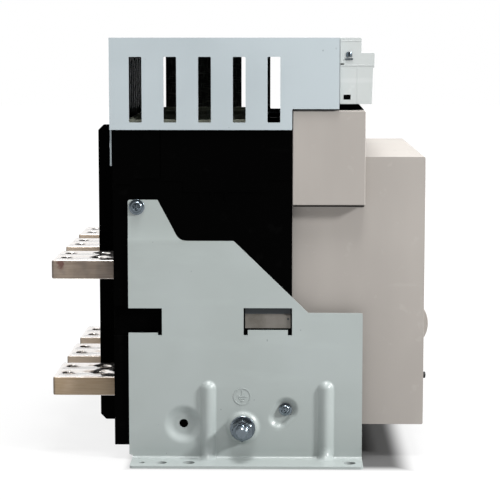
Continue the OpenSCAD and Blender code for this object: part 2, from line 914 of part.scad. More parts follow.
module secondary_terminals() {
    w = module_w;
    last = module_n - 1;
    color("#e1e4e2") for (i = [0:last]) translate([(i - module_n / 2) * w, 0, 0]) difference() {
        along_x([0, w - 0.4]) polygon(rounded([
            [-66, 340, 1], [-66, 402, 1], [-86, 402, 1.5], [-86, 388, 0.5], [-98.5, 388, 1.5],
            [-98, 374, 0], [-97, 374, 0], [-96, 340, 1]
        ]));
        rod_y([-99, -90], [w / 2, 381], 3.2);
        block([3, w - 3], [-99, -88], [348, 366]);
        translate([w / 2, clamp_at[0], clamp_at[1]]) cylinder(h = 9, r = 3.6);
    }
    color("#b8c0c6") for (i = [0:last])
        translate([(i - last / 2) * w, clamp_at[0], clamp_at[1] + 0.5]) cylinder(h = 4, r = 3.4);
}

module trip_unit() {
    front = face_y + 3.5;
    color("#33373b") difference() {
        block(trip_x, [front, -95], trip_z);
        block([-140, -70], [front - 1, front + 1.5], [212, 256]);
        for (x = lamp_x) rod_y([front - 1, front + 3], [x, lamp_z], 5);
        for (x = lamp_x) for (z = dial_z) rod_y([front - 1, front + 2], [x, z], 7);
        block([-140, -70], [front - 1, front + 1], [100, 122]);
    }
    color("#50565c") for (x = lamp_x) for (z = dial_z) rod_y([front + 0.4, front + 2], [x, z], 5.5);
    color("#c9ced2") for (x = lamp_x) rod_y([front + 0.2, front + 3], [x, lamp_z], 4.5);
}

module trip_unit_flap() {
    color([0.85, 0.9, 0.92, 0.4]) difference() {
        block(
            [trip_x[0] - 1.4, trip_x[1] + 1.4], [face_y + 0.1, face_y + 2.1],
            [trip_z[0] - 1.4, trip_z[1] + 1.4]
        );
        block([trip_x[1] - 4, trip_x[1] + 2], [face_y - 1, face_y + 3], [174, 190]);
    }
}

module reset_button() {
    color("#b3322c") {
        rod_y([face_y - 0.5, face_y + 9], reset_at, 3.4);
        rod_y([face_y + 3.4, face_y + 5], reset_at, 4.3);
    }
}

module push_button(at) {
    block(
        [at[0] - button_half[0], at[0] + button_half[0]], [face_y + 0.3, face_y + 9],
        [at[1] - button_half[1], at[1] + button_half[1]]
    );
    rod_y([face_y + 8, latch_y - latch_r - 3.4], at, 4);
    rod_y([latch_y - latch_r - 4, latch_y - latch_r - 0.4], at, 1.5);
}

module on_button() {
    color("#2f8a4a") push_button(on_at);
}

module off_button() {
    color("#b3322c") push_button(off_at);
}

module key_lock_barrel() {
    color("#c5c9cc") difference() {
        rod_y([face_y + 0.2, face_y + 22], key_at, 8);
        block(
            [key_at[0] - 1.2, key_at[0] + 1.2], [face_y - 1, face_y + 12],
            [key_at[1] - 5, key_at[1] + 5]
        );
    }
}

module flag(z) {
    block([flag_x - 13, flag_x + 13], [face_y + 4, face_y + 6], [z - 14, z + 13]);
}

module contact_indicator() {
    color("#e8e8e2") flag(flag_z[0]);
}

module spring_indicator() {
    color("#d8c23a") flag(flag_z[1]);
}

// ---- Small metal parts ----

module lifting_brackets() {
    color("#8f8a82") for (s = [false, true]) mirrored(s)
        block([plate_in - 2, plate_in], [slot_y[0] + 1, 23], [110, 141]);
}

module hex_nut(x, at, flats, r) {
    difference() {
        translate([x[0], at[0], at[1]]) rotate([0, 90, 0])
            cylinder(h = x[1] - x[0], r = flats / 2 / cos(30), $fn = 6);
        rod_x([x[0] - 1, x[1] + 1], at, r);
    }
}

// The stud is thinner inside its nut and washers than on its free end
module earth_stud() {
    x1 = plate_in + plate_t + 3;
    nut_end = x1 + 15.5;
    color("#a9b3bc") mirrored(true) {
        rod_x([plate_in + 2, nut_end], stud, stud_root_r);
        rod_x([nut_end - 0.1, nut_end + 11.5], stud, 6);
        difference() {
            rod_x([plate_in - 4.6, plate_in + 2.4], stud, 9);
            rod_x([plate_in + 2, plate_in + 4], stud, stud_root_r);
        }
        difference() {
            rod_x([x1, x1 + 2.5], stud, 12);
            rod_x([x1 - 1, x1 + 3], stud, stud_root_r);
        }
        difference() {
            rod_x([x1 + 2.5, x1 + 5.5], stud, 10.2);
            rod_x([x1 + 2, x1 + 6], stud, stud_root_r);
        }
        difference() {
            hex_nut([x1 + 5.5, nut_end], stud, 18, stud_root_r);
            rod_x([nut_end - 0.1, nut_end + 1], stud, 6);
        }
    }
}

// Plug in the spare stud hole of the right-hand plate
module stud_hole_plug() {
    x1 = plate_in + plate_t + 3;
    color("#222224") {
        rod_x([plate_in + 1, x1], stud, 5.4);
        cone_x([x1, x1 + 2], stud, 9.5, 8);
    }
}

module pan_screw(x, at, r, washer_r) {
    rod_x([plate_in - wall + 2.5, x + 1], at, r - 0.05);
    difference() {
        rod_x([x, x + 1.2], at, washer_r);
        rod_x([x - 1, x + 2], at, r - 0.1);
    }
    rod_x([x + 1.1, x + 4.5], at, washer_r * 0.72);
}

module plate_screws() {
    x1 = plate_in + plate_t;
    color("#a9b3bc") for (s = [false, true]) mirrored(s) {
        pan_screw(x1, top_screw, screw_r, 7.4);
        pan_screw(x1 - press_depth, dent, screw_r, 6.2);
    }
}

module cover_screws() {
    color("#2a2a2c") for (s = [-1, 1]) {
        rod_y([face_y - 10.5, face_y + 1], [s * knob_at[0], knob_at[1]], knob_r);
        rod_y([face_y + 0.9, face_y + 12], [s * knob_at[0], knob_at[1]], 2.5);
    }
    color("#a9b3bc") for (x = tail_screw_x) {
        rod_y([cover_rear, cover_rear + 2.4], [x, tail_screw_z], 4);
        rod_y([rear_y - 7, cover_rear + 1], [x, tail_screw_z], 1.95);
    }
}

left_side_plate();
right_side_plate();
exhaust_cover();
exhaust_liner();
rear_housing();
front_housing();
phase_barriers();
arc_chute_left();
arc_chute_centre();
arc_chute_right();
upper_terminal_left();
upper_terminal_centre();
upper_terminal_right();
lower_terminal_left();
lower_terminal_centre();
lower_terminal_right();
flexible_shunts();
current_transformers();
contact_pivot_pins();
contact_carrier_left();
contact_carrier_centre();
contact_carrier_right();
contact_fingers_left();
contact_fingers_centre();
contact_fingers_right();
main_shaft();
shaft_bearings();
drive_link_left();
drive_link_centre();
drive_link_right();
mechanism_frame();
camshaft();
ratchet_wheel();
drive_pawl();
charging_handle();
spring_follower();
closing_springs();
closing_latch_shaft();
trip_latch_shaft();
closing_coil();
trip_coil();
closing_plunger();
trip_plunger();
charging_motor();
front_cover();
upper_front_cover();
terminal_support();
secondary_terminals();
trip_unit();
trip_unit_flap();
reset_button();
on_button();
off_button();
key_lock_barrel();
contact_indicator();
spring_indicator();
lifting_brackets();
earth_stud();
stud_hole_plug();
plate_screws();
cover_screws();
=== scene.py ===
"""Looks of a three-pole air circuit breaker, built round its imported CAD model.

Lengths are in millimetres until a mesh is made. The breaker stands on z = 0, its operating front faces -y,
its terminals point to +y, and x runs across the poles.
"""

import json
import math

import bmesh
import bpy
import numpy as np
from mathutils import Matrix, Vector, geometry

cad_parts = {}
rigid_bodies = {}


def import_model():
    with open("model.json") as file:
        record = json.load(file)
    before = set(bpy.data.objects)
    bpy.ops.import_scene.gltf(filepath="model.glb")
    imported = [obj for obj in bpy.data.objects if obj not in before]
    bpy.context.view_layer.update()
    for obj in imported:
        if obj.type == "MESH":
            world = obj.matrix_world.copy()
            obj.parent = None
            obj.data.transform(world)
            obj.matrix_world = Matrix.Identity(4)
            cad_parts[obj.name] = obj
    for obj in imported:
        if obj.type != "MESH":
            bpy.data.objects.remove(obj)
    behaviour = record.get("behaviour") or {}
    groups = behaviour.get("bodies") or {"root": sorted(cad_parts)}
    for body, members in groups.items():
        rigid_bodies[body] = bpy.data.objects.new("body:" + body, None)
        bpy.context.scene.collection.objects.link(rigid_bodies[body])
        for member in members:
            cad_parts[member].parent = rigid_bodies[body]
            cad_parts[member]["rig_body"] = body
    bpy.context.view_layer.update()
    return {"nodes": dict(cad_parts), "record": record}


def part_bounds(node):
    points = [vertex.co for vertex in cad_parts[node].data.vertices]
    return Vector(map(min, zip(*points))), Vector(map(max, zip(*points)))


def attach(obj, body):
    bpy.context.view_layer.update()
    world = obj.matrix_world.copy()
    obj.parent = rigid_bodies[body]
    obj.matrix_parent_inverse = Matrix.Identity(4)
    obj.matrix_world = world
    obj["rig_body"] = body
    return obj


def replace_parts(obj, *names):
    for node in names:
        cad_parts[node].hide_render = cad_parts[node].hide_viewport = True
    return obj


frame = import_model()

MM = 0.001
SIDES = (-1, 1)
POLES = (-115, 0, 115)
FACE = -147.5
TRIP_FACE = FACE + 3.5


# ---- Shader values and finishes ----

def colour(code, scale=1.0):
    """The linear colour of a six-digit sRGB code, times a scale."""
    parts = [int(code[i:i + 2], 16) / 255 for i in (0, 2, 4)]
    linear = [p / 12.92 if p <= 0.04045 else ((p + 0.055) / 1.055) ** 2.4 for p in parts]
    return (*[p * scale for p in linear], 1.0)


class Value:
    """A number that varies over a surface: the output of a shader node, with arithmetic."""

    def __init__(self, finish, socket):
        self.finish = finish
        self.socket = socket

    def __add__(self, other):
        return self.finish.maths("ADD", self, other)

    def __sub__(self, other):
        return self.finish.maths("SUBTRACT", self, other)

    def __rsub__(self, other):
        return self.finish.maths("SUBTRACT", other, self)

    def __mul__(self, other):
        return self.finish.maths("MULTIPLY", self, other)

    __radd__ = __add__
    __rmul__ = __mul__

    def size(self):
        return self.finish.maths("ABSOLUTE", self)

    def root(self):
        return self.finish.maths("SQRT", self)

    def most(self, other):
        return self.finish.maths("MAXIMUM", self, other)

    def rise(self, low, high):
        """0 below low, 1 above high, and a smooth step between; it falls if low is the larger."""
        if low > high:
            return 1 - self.rise(high, low)
        settings = {"interpolation_type": "SMOOTHSTEP"}
        return self.finish.node("ShaderNodeMapRange", settings, {0: self, 1: low, 2: high})


class Finish:
    """A material in the making. node() adds any shader node, and feed() links a value to the surface."""

    def __init__(self, name, **constants):
        self.material = bpy.data.materials.new(name)
        self.material.use_nodes = True
        self.tree = self.material.node_tree
        self.shader = self.tree.nodes["Principled BSDF"]
        for socket, value in constants.items():
            self.shader.inputs[socket.replace("_", " ")].default_value = value
        self.place = self.node("ShaderNodeTexCoord", output=3)

    def node(self, kind, settings=None, inputs=None, output=0):
        made = self.tree.nodes.new(kind)
        for name, value in (settings or {}).items():
            setattr(made, name, value)
        for key, value in (inputs or {}).items():
            if isinstance(value, Value):
                self.tree.links.new(value.socket, made.inputs[key])
            else:
                made.inputs[key].default_value = value
        return Value(self, made.outputs[output])

    def maths(self, operation, *inputs):
        return self.node("ShaderNodeMath", {"operation": operation}, dict(enumerate(inputs)))

    def axis(self, index):
        """The surface point's own coordinate, in metres."""
        return self.node("ShaderNodeSeparateXYZ", None, {0: self.place}, output=index)

    def facing(self, index):
        """How far the surface faces along an axis, from -1 to 1."""
        normal = self.node("ShaderNodeTexCoord", output=1)
        return self.node("ShaderNodeSeparateXYZ", None, {0: normal}, output=index)

    def noise(self, per_metre, detail=2.0, stretch=(1, 1, 1), shift=0.0):
        """Noise with that many cells in a metre, stretched along an axis where its scale is below 1."""
        where = self.node("ShaderNodeMapping", None, {0: self.place, 1: (shift,) * 3, 3: stretch})
        inputs = {"Vector": where, "Scale": per_metre, "Detail": detail}
        return self.node("ShaderNodeTexNoise", None, inputs)

    def mix(self, mask, low, high):
        """The colour low where mask is 0, and high where it is 1."""
        return self.node("ShaderNodeMix", {"data_type": "RGBA"}, {0: mask, 6: low, 7: high}, output=2)

    def feed(self, socket, value):
        self.tree.links.new(value.socket, self.shader.inputs[socket])

    def bump(self, height):
        """Raises the surface by a height in millimetres."""
        inputs = {"Strength": 1.0, "Distance": MM, "Height": height}
        self.feed("Normal", self.node("ShaderNodeBump", None, inputs))


def powder_coat(name, light, dark, gloss):
    """Sprayed powder coat: two tones that drift slowly, wipe marks, a few specks, and orange peel."""
    made = Finish(name, Specular_IOR_Level=0.4)
    drift = made.noise(9, 3)
    wipes = made.noise(34, 4, (1, 0.3, 1), 3.1).rise(0.56, 0.72)
    specks = made.noise(250, 0.5, shift=7.7).rise(0.81, 0.84)
    tone = made.mix(drift.rise(0.3, 0.7), colour(dark), colour(light))
    tone = made.mix(wipes * 0.22, tone, colour(light, 1.12))
    made.feed("Base Color", made.mix(specks * 0.5, tone, colour(dark, 0.35)))
    made.feed("Roughness", gloss + 0.16 * (drift - 0.5) + 0.08 * wipes)
    made.bump(made.noise(520, 2) * 0.028 + made.noise(1900, 1) * 0.008 - specks * 0.02)
    return made.material


def moulded(name, main, worn, rough, grain=0.02, shine=0.3):
    """Moulded plastic: a spark-eroded grain, faint flow marks, and light rub marks in two directions."""
    made = Finish(name, Specular_IOR_Level=shine)
    flow = made.noise(16, 3, (1, 1, 0.4))
    rubs = made.noise(60, 5, (0.08, 1, 1), 1.3).rise(0.62, 0.7)
    rubs = rubs.most(made.noise(60, 5, (1, 0.1, 0.8), 4.2).rise(0.66, 0.72))
    tone = made.mix(flow.rise(0.3, 0.7), colour(main), colour(main, 1.1))
    made.feed("Base Color", made.mix(rubs * 0.3, tone, colour(worn)))
    made.feed("Roughness", rough + 0.14 * (flow - 0.5) + 0.1 * rubs)
    made.bump(made.noise(1500, 2) * grain + flow * 0.05 - rubs * 0.006)
    return made.material


def machined(name, main, tarnish, rough, brush=(1, 1, 0.06), metallic=1.0):
    """Bare or plated metal: fine brush lines along one axis over blotches of tarnish."""
    made = Finish(name, Metallic=metallic)
    lines = made.noise(1400, 3, brush)
    blotches = made.noise(45, 4, shift=2.0)
    tone = made.mix(blotches.rise(0.35, 0.75), colour(main), colour(tarnish))
    made.feed("Base Color", made.mix(lines.rise(0.3, 0.7) * 0.25, tone, colour(main, 1.15)))
    made.feed("Roughness", rough + 0.16 * (lines - 0.5) + 0.12 * (blotches - 0.5))
    made.bump(lines * 0.012)
    return made.material


def fibre_board(name, main, fleck):
    """Pressed insulating board: short fibres in two directions and a dull, pitted face."""
    made = Finish(name, Specular_IOR_Level=0.15)
    fibres = made.noise(700, 3, (1, 0.15, 1)).most(made.noise(700, 3, (1, 1, 0.15), 5.0))
    made.feed("Base Color", made.mix(fibres.rise(0.5, 0.75), colour(main), colour(fleck)))
    made.feed("Roughness", 0.75 + 0.2 * (fibres - 0.5))
    made.bump(fibres * 0.05)
    return made.material


def terminal_metal():
    """Plated copper bar: bright milled faces above and below, and brown, darker sawn sides with brush lines.

    The sawn sides are painted lighter on the lower bars and lighter still on the far bars, as painted light
    for how the light falls on each bar; the rounded bar ends are painted dark as painted shade, and a
    rust-red mark sits by the end of one.
    """
    made = Finish("terminal_metal", Specular_IOR_Level=0.5)
    pitch = POLES[2] * MM
    across = made.maths("WRAP", made.axis(0), pitch / 2, -pitch / 2).size()
    bored = across.rise(0.034, 0.033) * made.axis(1).rise(0.206, 0.205)
    milled = made.facing(2).size().rise(0.55, 0.85).most(bored)
    # Mask for the last 3 mm before each bar's end, which is painted dark below as painted shade.
    end = made.axis(1).rise(0.2065, 0.2095)
    lines = made.noise(900, 3, (1, 0.05, 1))
    blotches = made.noise(55, 4)
    # Painted light: the sawn sides are lighter on the lower bars and lighter still on the far bars, for how
    # the light falls on each bar.
    low = made.axis(2).rise(0.14, 0.09)
    far = made.axis(0).rise(-0.09, -0.05)
    sawn = made.mix(low, colour("71655b"), colour("8c7960"))
    sawn = made.mix(far, sawn, colour("cdbba7"))
    sawn = made.mix(blotches.rise(0.45, 0.75) * 0.35, sawn, colour("a3917d"))
    beside = made.axis(1) - 0.2005
    above = made.axis(2) - 0.1865
    reach = (beside * beside + above * above * 0.7).root()
    stain = (reach + 0.007 * (made.noise(330, 4) - 0.5)).rise(0.0055, 0.002)
    stain = stain * made.axis(0).rise(-0.15, -0.153)
    sawn = made.mix(stain * 0.85, sawn, colour("4a2019"))
    # Painted shade: the sawn sides darken to dark brown at each bar's end, where its rounded corners turn
    # away from the light.
    sawn = made.mix(end * 0.75, sawn, colour("3a2f27"))
    tone = made.mix(milled, sawn, colour("f4efeb"))
    made.feed("Base Color", made.mix(lines.rise(0.35, 0.7) * 0.06, tone, colour("efe6dc")))
    made.feed("Metallic", 0.2 + 0.75 * milled)
    made.feed("Roughness", 0.5 - 0.34 * milled + 0.1 * (lines - 0.5) + 0.1 * stain)
    made.bump(lines * 0.006 + blotches * 0.02)
    return made.material


def clear_sheet():
    """Clear polycarbonate: a nearly invisible glossy film with faint rub marks."""
    made = Finish("clear_sheet", Roughness=0.06, Specular_IOR_Level=0.5)
    rubs = made.noise(70, 5, (1, 1, 0.08)).rise(0.6, 0.72)
    made.feed("Base Color", made.mix(rubs, colour("dfe6e8"), colour("ffffff")))
    made.feed("Alpha", 0.07 + 0.08 * rubs)
    return made.material


def lit_lens(name, main, glow):
    """A small coloured lens that is lit a little from behind, brighter in its middle bands."""
    made = Finish(name, Roughness=0.12, Emission_Strength=0.4)
    cells = made.noise(1200, 1)
    made.feed("Base Color", made.mix(cells, colour(main), colour(glow)))
    made.feed("Emission Color", made.mix(cells, colour(main, 0.5), colour(glow)))
    return made.material


FINISHES = {
    "plate_paint": powder_coat("plate_paint", "99a09f", "939a98", 0.33),
    "cover_paint": powder_coat("cover_paint", "a3acb0", "9ca5a9", 0.36),
    "black_moulding": moulded("black_moulding", "020202", "080808", 0.5, 0.02, 0.006),
    "liner_board": fibre_board("liner_board", "3c3c3c", "6e6e6e"),
    "chute_board": fibre_board("chute_board", "a0a495", "c6cabb"),
    "terminal_copper": terminal_metal(),
    "contact_copper": machined("contact_copper", "c98a5c", "8e5a3c", 0.34),
    "bright_steel": machined("bright_steel", "c9cdd0", "9da1a4", 0.28),
    "dark_steel": machined("dark_steel", "6a6d70", "47494b", 0.4),
    "carrier_moulding": moulded("carrier_moulding", "5a2f25", "774438", 0.5),
    "coil_plastic": moulded("coil_plastic", "34383c", "54585c", 0.45),
    "beige_plastic": moulded("beige_plastic", "938e89", "a39e99", 0.5, 0.016),
    "ivory_plastic": moulded("ivory_plastic", "abafae", "bdc0bf", 0.34, 0.01),
    "trip_case": moulded("trip_case", "2f3336", "4d5154", 0.46),
    "clear_plastic": clear_sheet(),
    "green_plastic": moulded("green_plastic", "1f7a3d", "4c9a63", 0.32, 0.006, 0.5),
    "red_plastic": moulded("red_plastic", "a8241f", "c4554c", 0.32, 0.006, 0.5),
    "flag_white": moulded("flag_white", "e6e6df", "f2f2ee", 0.5, 0.004),
    "flag_yellow": moulded("flag_yellow", "d9b52a", "e7cc63", 0.5, 0.004),
    "spring_steel": machined("spring_steel", "5f6468", "3c4043", 0.36),
    "screw_zinc": machined("screw_zinc", "727b82", "4d565d", 0.24, (1, 0.3, 0.3)),
    "bracket_steel": machined("bracket_steel", "6e6a65", "545049", 0.6, (1, 1, 1), 0.3),
    "black_screw": machined("black_screw", "1b1b1c", "2c2c2e", 0.42, metallic=0.4),
}
SCREEN = moulded("screen_glass", "0f1518", "1b2226", 0.12, 0.0, 0.5)
CRYSTAL = moulded("display_crystal", "7d8a78", "8f9b89", 0.3, 0.002, 0.4)
PLATE_METAL = machined("rating_plate_metal", "c3c4c2", "a9aaa8", 0.38, (0.05, 1, 1))
PRINT = moulded("printed_line", "26282a", "3a3c3e", 0.6, 0.002)
WHITE_PRINT = moulded("white_print", "d9dbda", "e6e8e7", 0.55, 0.002)
LENSES = [
    lit_lens("green_lens", "1d8a3c", "62d884"), lit_lens("amber_lens", "c77a14", "ffc25a"),
    lit_lens("red_lens", "a11d1a", "ff6a5c"), lit_lens("white_lens", "b9c3c6", "eef6f8"),
]


# ---- Mesh work ----

def show(name, mesh, slot, body="frame", roll=0.0, sharp=35, finish=None):
    """Puts a mesh on show: smooth faces, sharp edges kept or rolled over by `roll` millimetres."""
    mesh.shade_smooth()
    mesh.set_sharp_from_angle(angle=math.radians(sharp))
    mesh.materials.append(finish or FINISHES[slot])
    made = bpy.data.objects.new(name, mesh)
    bpy.context.scene.collection.objects.link(made)
    if roll:
        edges = made.modifiers.new("rolled_edges", "BEVEL")
        edges.width = roll * MM
        edges.segments = 2
        edges.limit_method = "ANGLE"
        edges.angle_limit = math.radians(sharp)
        edges.harden_normals = True
    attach(made, body)
    return made


class Shell:
    """Surfaces in millimetres, gathered to become one piece."""

    def __init__(self):
        self.points = []
        self.faces = []
        self.count = 0

    def add(self, points, faces):
        points = np.asarray(points, float).reshape(-1, 3)
        self.faces += [[int(i) + self.count for i in face] for face in faces]
        self.points.append(points)
        self.count += len(points)
        return self

    def grid(self, points, round_rows=False):
        """Quads over points[row, column]. Columns close round, and rows do too if round_rows is set."""
        rows, columns = points.shape[:2]
        index = np.arange(rows * columns).reshape(rows, columns)
        index = np.hstack([index, index[:, :1]])
        if round_rows:
            index = np.vstack([index, index[:1]])
        quads = np.stack([index[:-1, :-1], index[:-1, 1:], index[1:, 1:], index[1:, :-1]], -1)
        return self.add(points, quads.reshape(-1, 4))

    def turn(self, axis, at, profile, sides=48, ring=False):
        """A profile of (radius, distance) carried round an axis: distance runs along it, radius across it."""
        radius, along = np.asarray(profile, float).T
        angle = np.linspace(0, 2 * np.pi, sides, endpoint=False)
        points = np.zeros((len(radius), sides, 3))
        points[..., axis] = along[:, None]
        points[..., (axis + 1) % 3] = radius[:, None] * np.cos(angle)
        points[..., (axis + 2) % 3] = radius[:, None] * np.sin(angle)
        return self.grid(points + np.asarray(at, float), ring)

    def prism(self, axis, span, outline):
        """A flat outline, given in the next two axes after `axis`, drawn out over a span of `axis`."""
        outline = np.asarray(outline, float)
        n = len(outline)
        points = np.zeros((2, n, 3))
        points[..., axis] = np.asarray(span, float)[:, None]
        points[..., (axis + 1) % 3] = outline[:, 0]
        points[..., (axis + 2) % 3] = outline[:, 1]
        walls = [[i, (i + 1) % n, n + (i + 1) % n, n + i] for i in range(n)]
        return self.add(points, walls + [list(range(n - 1, -1, -1)), list(range(n, 2 * n))])

    def block(self, x, y, z):
        return self.prism(0, x, [(y[0], z[0]), (y[1], z[0]), (y[1], z[1]), (y[0], z[1])])

    def disc(self, axis, at, radius, low, high, sides=32):
        return self.turn(axis, at, [(0, low), (radius, low), (radius, high), (0, high)], sides)

    def frame(self, opening, pad, y):
        """Four bars round an opening (x, x, z, z): two at its sides, and two above and below it."""
        x0, x1, z0, z1 = opening
        self.block((x0 - pad, x0), y, (z0 - pad, z1 + pad))
        self.block((x1, x1 + pad), y, (z0 - pad, z1 + pad))
        self.block((x0 - 0.01, x1 + 0.01), y, (z0 - pad, z0))
        self.block((x0 - 0.01, x1 + 0.01), y, (z1, z1 + pad))

    def ring(self, axis, at, inner, outer, low, high, sides):
        profile = [(inner, low), (outer, low), (outer, high), (inner, high)]
        return self.turn(axis, at, profile, sides, ring=True)

    def done(self, name, slot, body="frame", roll=0.0, sharp=35, finish=None):
        """Joins the surfaces into one mesh in metres, merges doubles, turns faces outwards and shows it."""
        mesh = bpy.data.meshes.new(name)
        mesh.from_pydata((np.concatenate(self.points) * MM).tolist(), [], self.faces)
        work = bmesh.new()
        work.from_mesh(mesh)
        bmesh.ops.remove_doubles(work, verts=work.verts, dist=1e-6)
        bmesh.ops.recalc_face_normals(work, faces=work.faces)
        work.to_mesh(mesh)
        work.free()
        return show(name, mesh, slot, body, roll, sharp, finish)


SLOT_OF = {row["node"]: row["material_slot"] for row in frame["record"]["subparts"]}


def softened(node, roll, sharp=28):
    """A copy of a CAD node with its loose triangles merged into flat faces and its edges rolled over."""
    source = frame["nodes"][node]
    work = bmesh.new()
    work.from_mesh(source.data)
    bmesh.ops.remove_doubles(work, verts=work.verts, dist=2e-6)
    bmesh.ops.dissolve_limit(work, angle_limit=math.radians(0.8), verts=work.verts, edges=work.edges)
    work.verts.index_update()
    points = [v.co[:] for v in work.verts]
    faces = [[v.index for v in f.verts] for f in work.faces]
    work.free()
    mesh = bpy.data.meshes.new(node + "_finished")
    mesh.from_pydata(points, [], faces)
    made = show(node + "_finished", mesh, SLOT_OF[node], source["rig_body"], roll, sharp)
    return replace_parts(made, node)


def rounded(corners, steps=4):
    """A closed outline through corners (a, b, radius), each rounded by an arc that touches both its sides."""
    points = []
    count = len(corners)
    for i, (a, b, radius) in enumerate(corners):
        here = np.array([a, b], float)
        if radius == 0:
            points.append(here)
            continue
        back = np.array(corners[i - 1][:2], float) - here
        on = np.array(corners[(i + 1) % count][:2], float) - here
        back /= np.linalg.norm(back)
        on /= np.linalg.norm(on)
        half = math.acos(np.clip(back @ on, -1, 1)) / 2
        middle = (back + on) / np.linalg.norm(back + on)
        centre = here + middle * radius / math.sin(half)
        side = np.sign(back[0] * on[1] - back[1] * on[0])
        start = math.atan2(-middle[1], -middle[0])
        turn = start - side * np.linspace(-1, 1, 2 * steps + 1) * (math.pi / 2 - half)
        points.extend(centre + radius * np.stack([np.cos(turn), np.sin(turn)], 1))
    return np.array(points)


def circle(a, b, radius, sides=32):
    angle = np.linspace(0, 2 * np.pi, sides, endpoint=False)
    return np.stack([a + radius * np.cos(angle), b + radius * np.sin(angle)], 1)


def spaced(loop, step):
    """The same outline with each side cut into equal parts no longer than step."""
    parts = []
    for here, there in zip(loop, np.roll(loop, -1, axis=0)):
        n = max(1, math.ceil(np.linalg.norm(there - here) / step))
        parts.append(here + (there - here) * np.arange(n)[:, None] / n)
    return np.concatenate(parts)


def inside(points, loop):
    """True where a ray from the point along the first axis crosses the outline an odd number of times."""
    a, b = loop, np.roll(loop, -1, axis=0)
    first, second = points[:, :1], points[:, 1:]
    spans = (a[:, 1] > second) != (b[:, 1] > second)
    rise = np.where(b[:, 1] == a[:, 1], 1.0, b[:, 1] - a[:, 1])
    cross = a[:, 0] + (second - a[:, 1]) * (b[:, 0] - a[:, 0]) / rise
    return (spans & (first < cross)).sum(1) % 2 == 1


def within(points, outline, holes):
    """True inside the outline and outside every hole."""
    solid = inside(points, outline)
    for hole in holes:
        solid &= ~inside(points, hole)
    return solid


def triangles(points, loops, holes):
    """Triangles over points that start with the loops' own, kept where they lie in the first loop's sheet."""
    edges = []
    start = 0
    for loop in loops:
        n = len(loop)
        edges += [(start + i, start + (i + 1) % n) for i in range(n)]
        start += n
    made = geometry.delaunay_2d_cdt([Vector(p) for p in points], edges, [], 0, 1e-5)
    spots = np.array([v[:] for v in made[0]])
    faces = np.array([f[:] for f in made[2]])
    faces = faces[within(spots[faces].mean(1), loops[0], holes)]
    a, b, c = (spots[faces[:, i]] for i in range(3))
    area = (b[:, 0] - a[:, 0]) * (c[:, 1] - a[:, 1]) - (b[:, 1] - a[:, 1]) * (c[:, 0] - a[:, 0])
    faces[area < 0] = faces[area < 0][:, ::-1]
    return spots, faces


def sheet_solid(front, back, faces):
    """Two matching faces of a sheet, and walls between them along each side that only one triangle has."""
    sides = np.concatenate([faces[:, [0, 1]], faces[:, [1, 2]], faces[:, [2, 0]]]).tolist()
    keys = {tuple(s) for s in sides}
    n = len(front)
    walls = [[b, a, a + n, b + n] for a, b in sides if (b, a) not in keys]
    return np.concatenate([front, back]), faces.tolist() + (faces[:, ::-1] + n).tolist() + walls


def step(low, high, value):
    """0 below low, 1 above high, and 3t^2 - 2t^3 between."""
    t = np.clip((value - low) / (high - low), 0, 1)
    return t * t * (3 - 2 * t)


def outwards(side, low, high):
    """A span of x from low to high on the right-hand side, or its mirror image on the left."""
    return sorted((side * low, side * high))


def part_box(node):
    """A CAD node's lowest and highest corners, in millimetres."""
    low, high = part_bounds(node)
    return np.array(low) / MM, np.array(high) / MM


# ---- Side plates ----

plate_low, plate_high = part_box("right_side_plate")
PLATE_T = 2.5
PLATE_X = 175.0
BEND_R = 2.0
BEND_ARC = BEND_R * math.pi / 2
FOOT_X = plate_high[0]
PLATE_FRONT = plate_low[1]
PLATE_REAR = plate_high[1]
PLATE_TOP = plate_high[2]
PLATE_MID = 211
PLATE_STEP = 142.5
WALL_FOOT = PLATE_T + BEND_R
DIMPLE = (82, 34.8)
DENT = (-15.4, 49)
DENT_TAIL = (6, -8)
TAB_Y = 84
TAB_SET = 2.0
TAB_BEND = 18
STUD = (25.4, 31.9)
TOP_SCREW = (125.5, 243.2)
BEADS = (58.4, -54)
BEAD_TOP = 77
BEAD_R = 7.5
BEAD_H = 5.0
GUSSET = (10, 12)
PRESSED = 4
SLOT_Y = (-21.6, 24.5)
SLOT_Z = (125.9, 147.2)
NOTCH_Y = 102.1
NOTCH_Z = (123, 146.8)
RELIEF = 4


